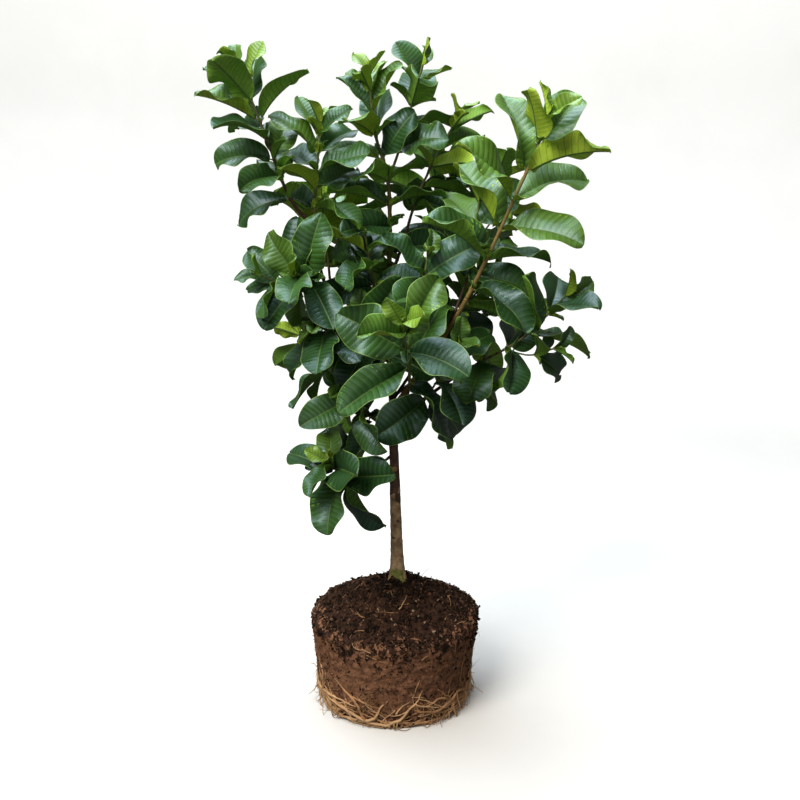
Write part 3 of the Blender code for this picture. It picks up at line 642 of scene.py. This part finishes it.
def leaf_grid(veins):
    """A leaf's rows, which follow its veins, and its columns, for the upper and the lower sheet."""
    rows = [0.0] + [(k + p) / veins for k in range(veins) for p in PHASES] + [1.0]
    columns = [-c for c in reversed(COLUMNS[1:])] + list(COLUMNS)
    along, across = np.meshgrid(rows, columns, indexing="ij")
    pleat = 1 - np.abs(2 * (along * veins % 1.0) - 1) ** 2.2
    index = np.arange(along.size).reshape(along.shape)
    upper = np.stack([index[:-1, :-1], index[1:, :-1], index[1:, 1:], index[:-1, 1:]], axis=-1)
    upper = upper.reshape(-1, 4)
    rim = np.concatenate([index[0], index[1:, -1], index[-1, -2::-1], index[-2:0:-1, 0]])
    onward = np.roll(rim, -1)
    edge = np.stack([rim, onward, onward + along.size, rim + along.size], axis=-1)
    reach = np.maximum(np.abs(across[:-1, :-1]), np.abs(across[:-1, 1:])).ravel()
    row = np.repeat(np.arange(len(rows) - 1), len(columns) - 1)
    on_vein = (row % len(PHASES) == 0) & (row > 0)
    # Upper side: role 1 is painted sheen on one slope of each pleat, role 2 painted shade in the vein
    # grooves.
    over = np.where(on_vein, 2, np.where(row % len(PHASES) == 2, 1, 0))
    sheets = []
    for role in (over, np.where(on_vein, 4, 3)):
        role = np.where(reach <= COLUMNS[1], -1, role)
        sheets.append(np.where(reach > COLUMNS[-2], -2, role))
    quads = np.concatenate([upper, upper[:, ::-1] + along.size, edge])
    roles = np.concatenate([*sheets, np.full(len(edge), -2)])
    return Grid(along, across, pleat, quads, roles)


GRIDS = {veins: leaf_grid(veins) for _, veins in VEINS}


def spread_along(shares, steps, vectors):
    """Vectors along a leaf at any of its shares."""
    return np.stack([np.interp(shares, steps, vectors[:, k]) for k in range(3)], axis=-1)


def leaf_sheet(leaf, grid, vigour, dice):
    """The points of a leaf's two sheets, bent, twisted, waved and pleated."""
    out, face = np.array(leaf.out), np.array(leaf.face)
    steps = np.linspace(0, 1, 41)
    angle = leaf.droop * ARCH * (steps + dice.uniform(-0.5, 0.9) * steps * (steps - 0.7))
    ahead = np.outer(np.cos(angle), out) - np.outer(np.sin(angle), face)
    upward = np.outer(np.cos(angle), face) + np.outer(np.sin(angle), out)
    right = np.cross(ahead, upward)
    swerve = dice.uniform(-SWERVE, SWERVE)
    spine = np.zeros((len(steps), 3))
    spine[1:] = np.cumsum((ahead[1:] + ahead[:-1]) / 2, axis=0) * leaf.length / (len(steps) - 1)
    spine += np.array(leaf.foot) + right * (swerve * leaf.length * steps**2)[:, None]
    twist = dice.uniform(-TWIST, TWIST) * steps
    side = right * np.cos(twist)[:, None] + upward * np.sin(twist)[:, None]
    up = upward * np.cos(twist)[:, None] - right * np.sin(twist)[:, None]

    across, reach = grid.across, np.abs(grid.across)
    along = grid.along + SLANT * reach**1.2 * 4 * grid.along * (1 - grid.along)
    bulge, tip = dice.uniform(*BULGE), dice.uniform(*TIP)
    body = 1 - np.abs(2 * along ** dice.uniform(*WIDEST) - 1) ** bulge
    width = leaf.width / 2 * np.maximum(body, 1e-4) ** (FOOT_END + (tip - FOOT_END) * along) + 0.0006
    halves = np.where(across < 0, dice.uniform(*HALVES), dice.uniform(*HALVES))
    if dice.random() < CREASED:
        halves = np.where(across * dice.choice((-1, 1)) > 0, halves * dice.uniform(*CREASE), halves)
    fold = np.minimum(leaf.fold * (1 + 0.4 * vigour) * halves * (1.15 - 0.60 * along), MOST_FOLD)
    height = reach * width * np.sin(fold) * (1.25 - 0.5 * reach)
    relief = np.where(reach <= COLUMNS[1], -GROOVE, 0.0)
    for hand in (-1, 1):
        waves, phase = dice.uniform(*WAVES), dice.uniform(0, tau)
        ripple = np.sin(tau * waves * along + phase) * np.maximum(hand * across, 0) ** 2
        relief = relief + ripple * leaf.width * dice.uniform(*WAVE_HEIGHT)
    pleats = np.minimum(reach / COLUMNS[2], 1) * (1 - reach**3) * np.sqrt(np.maximum(body, 0))
    relief = relief + grid.pleat * pleats * leaf.length * PLEAT

    share = (STALK + (1 - STALK) * along).ravel()
    spot, sides, ups = (spread_along(share, steps, vectors) for vectors in (spine, side, up))
    sides, ups = unit(sides), unit(ups)
    lean = (fold * np.sign(across)).ravel()[:, None]
    square = ups * np.cos(lean) - sides * np.sin(lean)
    upper = spot + sides * (across * width * np.cos(fold)).ravel()[:, None] + ups * height.ravel()[:, None]
    upper += square * relief.ravel()[:, None]
    keel = np.where(reach == 0, KEEL * (1 - 0.7 * along), np.where(reach == COLUMNS[1], KEEL_SIDE, 0.0))
    depth = np.where(reach == 1, RIM_THICKNESS, THICKNESS) + keel
    return np.concatenate([upper, upper - square * depth.ravel()[:, None]])


NEW_AGE, NEW_LENGTH = 0.06, 0.022  # a leaf younger or shorter than these is just out
TONE_STEPS = (0.28, 0.75, 1.25, 1.9)  # the painted light from which each next, brighter tone is dealt


def tone_of(leaf, vigour, dice):
    """How young a leaf looks, with painted light and shade: high and outer leaves are brighter, low and
    inner ones darker, young and vigorous ones brighter.
    """
    if leaf.age < NEW_AGE or leaf.length < NEW_LENGTH:
        return 4 if vigour else 3
    out = hypot(leaf.foot.x, leaf.foot.y - CROWN_MIDDLE) / 0.15
    # Painted light: higher and outer leaves get a brighter tone, lower and inner ones a darker tone that
    # stands for shade.
    light = 0.22 + 0.75 * (leaf.foot.z - 0.42) / 0.4 + 0.3 * min(out, 1.2) + vigour * (1 - leaf.age)
    light += 0.7 * max(0.0, 0.5 - leaf.age) + dice.uniform(-0.5, 0.5)
    return sum(light > step for step in TONE_STEPS)


def add_leaf(pile, leaf, vigour, dice):
    """One leaf with its stalk."""
    grid = GRIDS[next(veins for least, veins in VEINS if leaf.length > least)]
    tone = tone_of(leaf, vigour, dice)
    roles = np.where(grid.roles >= 0, grid.roles + PARTS * tone, np.where(grid.roles == -1, RIB, MARGIN))
    pile.add(leaf_sheet(leaf, grid, vigour, dice), grid.quads, roles)
    shares = np.linspace(0, STALK + 0.04, 5)
    spots = [midrib(leaf, s)[0] - midrib(leaf, s)[2] * 0.0006 for s in shares]
    pile.add(tube_points(spots, np.linspace(0.0011, 0.0007, 5), 6), ring_quads(5, 6), LEAF_STALK)


# ---------------------------------------------------------------- foliage

# Shoots with brighter leaves, and by how much.
VIGOROUS = {"right": 0.9, "front": 0.8, "left": 0.3, "centre": 0.6, "centre_right": 0.6, "left_inner": 0.5,
            "lower_left": 0.6, "inner_left": 0.3}
OCHRE = ("right",)  # shoots with yellowish bark
TWIG_SIDES, TWIG_STEP = 8, 0.0022
SWELLING, SWELLING_WIDTH = 0.28, 0.0018  # where a pair of leaves sits, as a share of the radius
GREEN_FROM, OLIVE_FROM, OCHRE_TO = 0.86, 0.55, 0.95  # shares of a shoot
GREEN_TWIG, OLIVE_TWIG, BROWN_TWIG, OCHRE_TWIG = range(4)
BUD_SIZE = (0.11, 0.18)  # of a full-grown leaf
AXIL_LEAVES, AXIL_SIZE = 0.5, (0.016, 0.042)  # how many axils have a small leaf, and its length


def add_twig(pile, axis, curve, first, dice):
    """A shoot, swollen a little where each pair of leaves sits."""
    shares, middles, radii = stretch(axis, curve, first, 1.0, TWIG_STEP)
    for place, _ in node_shares(axis):
        gap = (np.array(shares) - place) * curve.length
        radii = radii * (1 + SWELLING * np.exp(-((gap / SWELLING_WIDTH) ** 2)))
    middles = [m + Vector((dice.gauss(0, 0.00008), dice.gauss(0, 0.00008), 0)) for m in middles]
    ages = np.array(shares) + np.array([dice.gauss(0, 0.05) for _ in shares])
    foot = np.where(ages > OLIVE_FROM, OLIVE_TWIG, BROWN_TWIG)
    if axis.name in VIGOROUS or not axis.bare:
        foot = OLIVE_TWIG
    tones = np.where(ages > GREEN_FROM, GREEN_TWIG, foot)
    if axis.name in OCHRE:
        tones = np.where(ages > OCHRE_TO, GREEN_TWIG, OCHRE_TWIG)
    roles = np.concatenate([np.repeat(tones[:-1], TWIG_SIDES), np.full(TWIG_SIDES - 2, tones[-1])])
    pile.add(tube_points(middles, radii, TWIG_SIDES), ring_quads(len(middles), TWIG_SIDES), roles)


def buds(axis, curve, dice):
    """The pair of leaves that is just opening at a shoot's tip."""
    found = []
    foot, ahead = curve.at(1.0)
    for side in (0, 180):
        out = (ahead + around(ahead, axis.turn + side + 90) * 0.28).normalized()
        face = -around(ahead, axis.turn + side + 90)
        face = (face - out * face.dot(out)).normalized()
        length = axis.leaf * dice.uniform(*BUD_SIZE)
        found.append(Leaf(foot, out, face, length, length * 0.42, 0.35, 0.75, 0.0))
    return found


def axil_leaves(axis, curve, dice):
    """Small leaves that start in the axils of the older pairs."""
    found = []
    for place, age in node_shares(axis)[:-1]:
        foot, ahead = curve.at(place)
        for side in (0, 180):
            if dice.random() > AXIL_LEAVES:
                continue
            angle = axis.turn + side + dice.uniform(50, 130)
            out = (ahead * 0.8 + around(ahead, angle) * dice.uniform(0.5, 0.9)).normalized()
            face = (ahead - out * ahead.dot(out)).normalized()
            length = dice.uniform(*AXIL_SIZE)
            fold = radians(dice.uniform(15, 40))
            found.append(Leaf(foot, out, face, length, length * 0.50, 0.6, fold, 0.3 + age * 0.6))
    return found


def build_foliage(axes, curves, leaves, leaf_looks, twig_looks):
    """The leaves and the twigs of each mass."""
    for axis in (a for a in axes if a.bare and a.pairs):
        members = [axis] + [a for a in axes if a.parent == axis.name and not a.bare]
        blades, twigs = Pile(), Pile()
        for member in members:
            curve = curves[member.name]
            dice = random.Random(f"{SEED} looks {member.name}")
            add_twig(twigs, member, curve, member.bare if member.bare else 0.0, dice)
            more = buds(member, curve, dice) + axil_leaves(member, curve, dice)
            vigour = VIGOROUS.get(member.name, 0.0)
            for leaf in leaves[member.name] + more:
                add_leaf(blades, leaf, vigour, dice)
        node = f"foliage_{axis.name}"
        blades.dress(f"leaves_{axis.name}", leaf_looks, "leaf", node)
        twigs.dress(f"twigs_{axis.name}", twig_looks, "leaf", node)


# ---------------------------------------------------------------- bark

TRUNK_SIDES, TRUNK_STEP = 48, 0.0009
BOUGH_SIDES, BOUGH_STEP = 12, 0.0016
COARSE_WAVES, COARSE_RELIEF = 260, 0.08  # waves per metre, and height as a share of the radius
FINE_WAVES, FINE_RELIEF = 900, 0.035


def bark_skin(axis, curve, first, last, sides, spacing):
    """The points of a limb with ridges and grain, the limb's middle at each, and how many rings."""
    shares, middles, radii = stretch(axis, curve, first, last, spacing)
    points = tube_points(middles, radii, sides)
    coarse = roughen(points * np.array((1, 1, 0.35)), COARSE_WAVES, 1)
    fine = roughen(points * np.array((1, 1, 0.5)), FINE_WAVES, 2)
    thick = np.repeat(radii, sides) * (1 + COARSE_RELIEF * coarse + FINE_RELIEF * fine)
    middle = np.repeat(np.array(middles), sides, axis=0)
    return middle + unit(points - middle) * thick[:, None], middle, len(shares)


# Knots and scars of the trunk: height, degrees round it (-90 is the front), size and relief.
KNOTS = (
    (0.199, -52, 0.0040, 0.0010), (0.224, -120, 0.0030, 0.0009), (0.247, -70, 0.0034, 0.0012),
    (0.286, -135, 0.0036, 0.0014), (0.300, 60, 0.0040, 0.0012), (0.319, -95, 0.0046, 0.0016),
    (0.332, -60, 0.0030, 0.0011), (0.347, -110, 0.0050, 0.0013), (0.262, 120, 0.0040, 0.0012),
    (0.215, 40, 0.0035, 0.0010),
)
SCARS = (0, 5)  # which of these are pale scars
GREY, DARK, MOSS, SCAR = range(4)
OLD_BARK = 0.280  # where the grey bark of the foot gives way to dark bark
MOSS_TOP = 0.181
SPECKS = 150  # small dark marks all over the trunk


def build_trunk(axis, curve, looks):
    """The trunk: grey and smooth at its foot with a little moss, dark and knotty higher up."""
    points, middle, rings = bark_skin(axis, curve, 0.0, 1.0, TRUNK_SIDES, TRUNK_STEP)
    way = unit(points - middle)
    dice = random.Random(f"{SEED} trunk")
    marks = [(*knot, SCAR if k in SCARS else DARK) for k, knot in enumerate(KNOTS)]
    for _ in range(SPECKS):
        marks.append((dice.uniform(0.165, 0.43), dice.uniform(0, 360), dice.uniform(0.0006, 0.0013),
                      dice.uniform(0.0002, 0.0005), DARK))
    mottle = roughen(points * np.array((1, 1, 0.6)), 150, 3)
    roles = np.where(points[:, 2] + 0.030 * mottle > OLD_BARK, DARK, GREY)
    front = -way[:, 1] - 0.4 * way[:, 0]
    edge = MOSS_TOP + 0.008 * mottle + 0.007 * roughen(points, 700, 4)
    roles[(points[:, 2] < edge) & (front + 0.8 * mottle > 0.55)] = MOSS
    for height, angle, size, relief, role in marks:
        foot = int(np.argmin(np.abs(middle[::TRUNK_SIDES, 2] - height))) * TRUNK_SIDES
        out = np.array((cos(radians(angle)), sin(radians(angle)), 0))
        ring = points[foot:foot + TRUNK_SIDES]
        centre = ring[int(np.argmax((ring - middle[foot]) @ out))]
        far = np.linalg.norm(points - centre, axis=1) / size
        points = points + way * (relief * np.exp(-far**2))[:, None]
        roles[far < (0.75 if role == SCAR else 0.6)] = role
    quads = ring_quads(rings, TRUNK_SIDES)
    pile = Pile()
    pile.add(points, quads, roles[quads[:, 0]])
    pile.dress("bark_trunk", looks, "bark", "trunk")


def build_limbs(axes, curves, trunk_looks, bough_look, ochre_look):
    """The bark of the trunk and of each bough, which starts just inside its parent's bark."""
    for axis in (a for a in axes if a.bare):
        curve = curves[axis.name]
        if axis.parent is None:
            build_trunk(axis, curve, trunk_looks)
            continue
        first = 0.0 if axis.start == 1 else 0.003 / curve.length
        points, _, rings = bark_skin(axis, curve, first, axis.bare, BOUGH_SIDES, BOUGH_STEP)
        pile = Pile()
        pile.add(points, ring_quads(rings, BOUGH_SIDES))
        look = ochre_look if axis.name in OCHRE else bough_look
        pile.dress(f"bark_{axis.name}", [look], "bark", f"bough_{axis.name}")


# ---------------------------------------------------------------- root ball

# The soil's unevenness: waves per metre and height of each.
LUMPS = ((14.0, 0.0035), (38.0, 0.0014))
PRINT = ((130, 0.0015), (380, 0.0013))  # where the pot held it
CRUMBLY = ((110, 0.0026), (260, 0.0022))  # on top
DENT_WAVES, DENT = 45, 0.0011


def uneven(spot, table):
    """The height there of all the waves in a table."""
    return sum(height * noise.noise(spot * waves) for waves, height in table)


def ball_profile():
    """The root ball's outline from the edge of its underside to the edge of the trunk's seat."""
    turn = np.radians((0, 30, 60, 90))
    start, rest = EDGE_ROUND * (1 - np.cos(turn)), EDGE_ROUND * (1 - np.sin(turn))
    part = np.arange(1, 5) / 4
    inner = RIM_RADIUS - EDGE_ROUND
    out = (FOOT_RADIUS - rest, FOOT_RADIUS + (RIM_RADIUS - FOOT_RADIUS) * part[:3], RIM_RADIUS - start,
           inner + (SEAT_RADIUS - inner) * part)
    height = (start, EDGE_ROUND + (RIM_HEIGHT - 2 * EDGE_ROUND) * part[:3], RIM_HEIGHT - rest,
              RIM_HEIGHT + (SOIL_TOP - GAP - RIM_HEIGHT) * part**1.15)
    return np.stack([np.concatenate(out), np.concatenate(height)], axis=-1)


OUTLINE = ball_profile()
OUTLINE_RUN = np.concatenate([[0], np.cumsum(np.linalg.norm(np.diff(OUTLINE, axis=0), axis=1))])
RIM_RUN = OUTLINE_RUN[8]  # where the side turns into the top
TOP_RUN = OUTLINE_RUN[-1]
FINE_RUN = np.linspace(0, TOP_RUN, 200)


def outline_at(run):
    """How far out and how high the outline is, "run" metres along it from the underside's edge."""
    return np.stack([np.interp(run, OUTLINE_RUN, OUTLINE[:, k]) for k in (0, 1)], axis=-1)


FINE = outline_at(FINE_RUN)


def skin(angle, run, lift=0.0):
    """A point over the ball's surface, and the direction square to it there."""
    out, height = outline_at(run)
    climb = Vector(outline_at(run + 0.002) - outline_at(run - 0.002)).normalized()
    way = Vector((cos(angle), sin(angle), 0))
    square = way * climb.y - Vector((0, 0, climb.x))
    spot = way * out + Vector((0, 0, height))
    ease = min(1.0, run / 0.01, (TOP_RUN - run) / 0.01)
    lean = way * 0.7 + Vector((0, 0, 0.3 if height > RIM_HEIGHT / 2 else 0))
    return spot + lean * uneven(spot, LUMPS) * max(ease, 0) + square * lift, square


def grounded(points):
    """The points with none of them below the floor."""
    points[:, 2] = np.maximum(points[:, 2], 0.0)
    return points


LOOSE_FROM = 0.098  # how far up the outline the pot's smooth print gives way to loose soil
LOOSE_WIDTH = 0.045  # the width of the change
PAINTED_SHADE_FOOT = 0.040  # how far up the soil near the foot is painted dark as shade between the roots
SOIL_SIDES, SOIL_STEP = 320, 0.0016


def looseness(spot, run):
    """0 where the pot held the soil smooth, 1 where it is loose, with a ragged edge between."""
    ragged = 0.35 * noise.noise(spot * 38) + 0.7 * noise.noise(spot * 120)
    return min(max((run - LOOSE_FROM) / LOOSE_WIDTH + ragged, 0), 1)


def build_soil(looks):
    """The ball itself: loose and rough on top, smoother where the pot held it."""
    runs = np.arange(0, TOP_RUN, SOIL_STEP)
    points, dark = [], []
    for run in runs:
        for k in range(SOIL_SIDES):
            spot, square = skin(tau * k / SOIL_SIDES, run)
            top = looseness(spot, run)
            relief = uneven(spot, PRINT) * (1 - top) + uneven(spot, CRUMBLY) * top
            relief += DENT * noise.noise(spot * DENT_WAVES + Vector((9, 9, 9)))
            points.append(spot + square * relief * min(1.0, run / 0.006))
            # Dark soil on the loose top, and near the foot soil painted dark as shade between the roots.
            dark.append(max(top, 1 - run / PAINTED_SHADE_FOOT) + 0.8 * noise.noise(spot * 260) > 0.5)
    quads = ring_quads(len(runs), SOIL_SIDES)
    pile = Pile()
    pile.add(grounded(np.array(points)), quads, np.array(dark)[quads[:, 0]])
    pile.dress("soil", looks, "soil", "root_ball")


CUBE = np.array([(x, y, z) for x in (-1, 1) for y in (-1, 1) for z in (-1, 1)], float)
CUBE_QUADS = np.array(((0, 1, 3, 2), (4, 6, 7, 5), (0, 4, 5, 1), (2, 3, 7, 6), (0, 2, 6, 4), (1, 5, 7, 3)))
CRUMBS, HEAPED = 13500, 900  # all over the ball, and at the trunk's foot
ON_TOP = 0.80  # how many crumbs are meant for the top
CHIPS, CHIP = 0.18, (2.8, 0.8, 0.45)  # how many are chips of bark, and a chip's sizes
HEAP = (0.0135, 0.024, 0.013)  # the heap's inner radius, width and height
DEALT = (0.50, 0.32, 0.155, 0.025)  # black, brown, bark and grit
DEALT_AT_FOOT = (0.62, 0.28, 0.09, 0.01)


def add_crumb(pile, spot, size, dice, dealt):
    """An angular crumb or a flat chip, turned any way and given one of the dealt kinds."""
    turn = Quaternion(dice.normal(size=4)).normalized().to_matrix()
    shape = CUBE * dice.uniform(0.5, 1.0, 3) * (1 + 0.35 * dice.normal(size=(8, 1)))
    if dice.random() < CHIPS:
        shape = shape * CHIP
    points = shape * size @ np.array(turn) + np.array(spot)
    pile.add(grounded(points), CUBE_QUADS, dice.choice(4, p=dealt))


def build_crumbs(looks):
    """Crumbs, chips of bark and grit, lying thick on the loose soil and heaped at the trunk's foot."""
    dice = np.random.default_rng(SEED)
    pile = Pile()
    for _ in range(CRUMBS):
        on_top = dice.random() < ON_TOP
        run = dice.uniform(LOOSE_FROM - 0.01, TOP_RUN) if on_top else dice.uniform(0.002, LOOSE_FROM + 0.02)
        if dice.random() > outline_at(run)[0] / RIM_RADIUS:
            continue
        size = dice.uniform(0.0005, 0.0014 if on_top else 0.0008) * (1.8 if dice.random() < 0.10 else 1)
        spot, _ = skin(dice.uniform(0, tau), run, size * dice.uniform(0.0, 0.9))
        if not on_top or looseness(spot, run) >= dice.uniform(0.05, 0.6):
            add_crumb(pile, spot, size, dice, DEALT)
    inner, width, height = HEAP
    for _ in range(HEAPED):
        out = inner + width * dice.random() ** 1.4
        angle, high = dice.uniform(0, tau), 1 - (out - inner) / width
        spot = Vector((AXES[0].points[0][0] + out * cos(angle), out * sin(angle), 0))
        ragged = dice.random() * (0.75 + 0.5 * sin(angle * 3 + 1))
        spot.z = SOIL_TOP - 0.002 + height * high**1.5 * ragged
        add_crumb(pile, spot, dice.uniform(0.0007, 0.0018), dice, DEALT_AT_FOOT)
    pile.dress("soil_crumbs", looks, "soil", "root_ball", smooth=False)


FLOOR_LIFT = 0.0012  # the lowest that a root's middle lies
ROOT_STEP = 0.003
FORKS, MOTHER_FORKS = 0.20, 0.22  # how many of a root's points carry a side root
MOTHERS = 26  # thick roots that circle the foot


def root_path(angle, run, heading, length, dice, lift, leave):
    """A root's points: it creeps over the ball, or lifts away from it where "leave" isn't 0."""
    points = []
    count = max(4, int(length / ROOT_STEP))
    for k in range(count):
        free = leave * (k / count) ** 1.3 * length
        spot, _ = skin(angle, min(max(run, 0.001), TOP_RUN - 0.004), lift + free)
        spot.z = max(spot.z, FLOOR_LIFT)
        points.append(spot)
        heading += dice.gauss(0, 0.22)
        angle += cos(heading) * ROOT_STEP / max(0.03, hypot(spot.x, spot.y))
        run += sin(heading) * ROOT_STEP
    return points


def place_of(spot):
    """The angle round the ball, and the run along its outline, of a point."""
    away = np.hypot(FINE[:, 0] - hypot(spot.x, spot.y), FINE[:, 1] - spot.z)
    return atan2(spot.y, spot.x), float(FINE_RUN[int(np.argmin(away))])


def add_root(pile, start, heading, length, radius, dice, depth=1, lift=0.0, leave=0.0, tone=0):
    """A tapering root with its side roots."""
    points = root_path(*start, heading, length, dice, lift + radius * 0.4, leave)
    radii = radius * np.linspace(1.0, 0.35, len(points)) * (1 + 0.12 * np.sin(np.arange(len(points)) * 1.7))
    pile.add(grounded(tube_points(points, radii, 6)), ring_quads(len(points), 6), tone)
    for spot in points[2:-2] if depth else ():
        if dice.random() < FORKS:
            turn = heading + dice.choice((-1, 1)) * dice.uniform(0.4, 1.1)
            add_root(pile, place_of(spot), turn, length * dice.uniform(0.25, 0.6),
                     radius * dice.uniform(0.35, 0.65), dice, depth - 1, lift, leave, tone)


def mother_root(pile, angle, hand, dice, tone):
    """A thick root: it comes down the side, circles along the foot, and branches as it goes."""
    run, heading = dice.uniform(0.030, 0.068), -dice.uniform(0.6, 1.2)
    level, lift = dice.uniform(0.008, 0.036), dice.uniform(0.0004, 0.0034)
    count = int(dice.uniform(0.13, 0.24) / ROOT_STEP)
    points, headings = [], []
    for k in range(count):
        spot, _ = skin(angle, run, lift * min(1.0, k / 12))
        spot.z = max(spot.z, 2 * FLOOR_LIFT)
        points.append(spot)
        headings.append(heading)
        goal = -1.1 if run > 0.040 else (level - run) * 45
        heading += (max(-1.2, min(1.2, goal)) - heading) * 0.22 + dice.gauss(0, 0.19)
        angle += hand * cos(heading) * ROOT_STEP / hypot(spot.x, spot.y)
        run = min(max(run + sin(heading) * ROOT_STEP, 0.003), 0.1)
    body = np.interp(np.linspace(0, 1, count), (0, 0.25, 0.5, 1.0), (0.30, 0.85, 1.0, 0.30))
    body = body * dice.uniform(0.0011, 0.0022) * (1 + 0.10 * np.sin(np.arange(count) * 1.3 + angle))
    pile.add(grounded(tube_points(points, body, 8)), ring_quads(count, 8), tone)
    for k in range(3, count - 1):
        if dice.random() > MOTHER_FORKS:
            continue
        place = place_of(points[k])
        thick = float(body[k]) * dice.uniform(0.3, 0.7)
        turn = headings[k] + dice.uniform(0.35, 0.9) * dice.choice((-1, 1, 1))
        if dice.random() < 0.45:
            turn, reach, rise, leave = dice.uniform(-0.9, 0.9) - pi / 2, (0.016, 0.042), lift, 0.5
        else:
            turn, reach, rise, leave = turn if hand > 0 else pi - turn, (0.02, 0.05), lift * 0.5, 0.0
        add_root(pile, place, turn, dice.uniform(*reach), thick, dice, 1, rise, leave, tone)


def build_roots(looks):
    """The roots that circled the pot, thick at its foot, with finer ones all over the side."""
    dice = random.Random(f"{SEED} roots")
    thick, fine = Pile(), Pile()
    for k in range(MOTHERS):
        angle = tau * (k + dice.uniform(-0.3, 0.3)) / MOTHERS
        mother_root(thick, angle, dice.choice((-1, 1)), dice, k % 2)

    def scatter(pile, count, runs, aim, lengths, radii, tone, leaves=None, lift=0.0):
        """Roots that start all round the ball. "aim" gives a heading, and "tone" the k-th tone."""
        for k in range(count):
            start = (dice.uniform(0, tau), dice.uniform(*runs))
            heading, length, radius = aim(), dice.uniform(*lengths), dice.uniform(*radii)
            leave = dice.uniform(*leaves) if leaves else 0.0
            add_root(pile, start, heading, length, radius, dice, 1, lift, leave, tone(k))

    def any_way():
        return dice.uniform(0, tau)

    def up():
        return dice.choice((dice.uniform(0.5, 1.2), dice.uniform(1.9, 2.6)))

    def down():
        return dice.uniform(-1.0, 1.0) - pi / 2

    def level():
        return dice.choice((0, pi)) + dice.uniform(-0.5, 0.5)

    scatter(thick, 32, (0.012, 0.030), up, (0.030, 0.065), (0.0007, 0.0014), lambda k: k % 2)
    scatter(fine, 110, (0.010, RIM_RUN * 0.95), any_way, (0.012, 0.045), (0.00020, 0.00045),
            lambda k: dice.choice((0, 2, 2)))
    scatter(thick, 64, (0.004, 0.022), down, (0.015, 0.036), (0.0004, 0.0010), lambda k: k % 2, (0.35, 0.8))
    scatter(fine, 120, (0.020, RIM_RUN + 0.01), any_way, (0.010, 0.030), (0.00015, 0.0003), lambda k: 2,
            (0.3, 0.8))
    scatter(fine, 36, (RIM_RUN - 0.02, TOP_RUN - 0.02), level, (0.014, 0.036), (0.0003, 0.0008),
            lambda k: dice.choice((0, 0, 1, 2)), lift=0.0012)
    scatter(fine, 34, (TOP_RUN - 0.002, TOP_RUN - 0.022), any_way, (0.008, 0.020), (0.0003, 0.0006),
            lambda k: 3, (0.6, 1.2), 0.001)
    thick.dress("roots", looks, "pale_root", "circling_roots")
    fine.dress("rootlets", looks, "pale_root", "circling_roots")


# ---------------------------------------------------------------- stage

FLOOR_SIDES, FLOOR_RADIUS, FLOOR_RISE = 96, 2.4, 1.9


def build_stage():
    """A pale floor that curves up all round."""
    bend = FLOOR_RISE / 2
    flat = FLOOR_RADIUS - bend
    profile = [(out, 0.0) for out in (0.02, 0.5, 1.0, flat)]
    for k in range(1, 17):
        turn = pi / 2 * k / 16
        profile.append((flat + bend * sin(turn), bend * (1 - cos(turn))))
    profile.append((FLOOR_RADIUS, FLOOR_RISE))
    angles = [tau * k / FLOOR_SIDES for k in range(FLOOR_SIDES)]
    points = [(out * cos(a), out * sin(a), height) for out, height in profile for a in angles]
    pile = Pile()
    pile.add(points, ring_quads(len(profile), FLOOR_SIDES, open_end=True))
    pale = blend((0.90, 0.89, 0.87), (0.93, 0.92, 0.90), 0.4)
    floor = pile.build("floor", [material("pale_floor", pale, 3, (0.8, 0.9))])
    # The floor throws no light back, so that the leaves keep their depth of colour.
    floor.visible_diffuse = floor.visible_glossy = False


PITCH = radians(14)
AIM = Vector((0.007, 0, 0.41))
DISTANCE = 1.2677
SENSOR = 36
LENS = SENSOR * 990 / 800  # the focal length in pixels over the picture's width
AMBIENT, AMBIENT_STRENGTH = (1.0, 0.96, 0.89, 1.0), 0.13

# Round lamps: place, target, size, power and colour.
LAMPS = {
    "overhead": ((-0.2, 0.25, 2.5), (0, 0, 0.5), 2.0, 71, (0.86, 0.94, 1.0)),
    "front": ((-1.1, -1.5, 2.3), (0, 0, 0.42), 1.4, 66, (1.0, 0.95, 0.87)),
    "fill": ((0.4, -1.7, 0.35), (0, 0, 0.45), 1.2, 3.0, (1.0, 0.94, 0.86)),
    "backdrop": ((0, 0.9, 1.9), (0, 2.4, 0.7), 1.6, 14, (1.0, 1.0, 1.0)),
}


def aimed(name, data, place, target):
    """An object that looks from its place towards a target."""
    made = bpy.data.objects.new(name, data)
    made.location = place
    made.rotation_euler = (Vector(target) - Vector(place)).to_track_quat("-Z", "Y").to_euler()
    bpy.context.scene.collection.objects.link(made)
    return made


def build_view():
    """The lamps, the light from all round and the camera."""
    for name, (place, target, size, power, colour) in LAMPS.items():
        lamp = bpy.data.lights.new(name, "AREA")
        lamp.shape, lamp.size, lamp.energy, lamp.color = "DISK", size, power, colour
        aimed(name, lamp, place, target)
    scene = bpy.context.scene
    scene.view_settings.view_transform = "Standard"
    scene.world = bpy.data.worlds.new("studio")
    scene.world.use_nodes = True
    fill(scene.world.node_tree.nodes["Background"], Color=AMBIENT, Strength=AMBIENT_STRENGTH)
    lens = bpy.data.cameras.new("camera")
    lens.sensor_width, lens.lens = SENSOR, LENS
    back = Vector((0, -cos(PITCH), sin(PITCH))) * DISTANCE
    scene.camera = aimed("camera", lens, AIM + back, AIM)


def main():
    axes, curves = all_axes()
    twigs = surfaces("twig")
    build_foliage(axes, curves, grow_leaves(axes, curves), leaf_materials(), twigs)
    build_limbs(axes, curves, surfaces("bark"), *surfaces("bough"), twigs[-1])
    build_soil(surfaces("soil"))
    build_crumbs(surfaces("crumb"))
    build_roots(surfaces("root"))
    build_stage()
    build_view()


main()
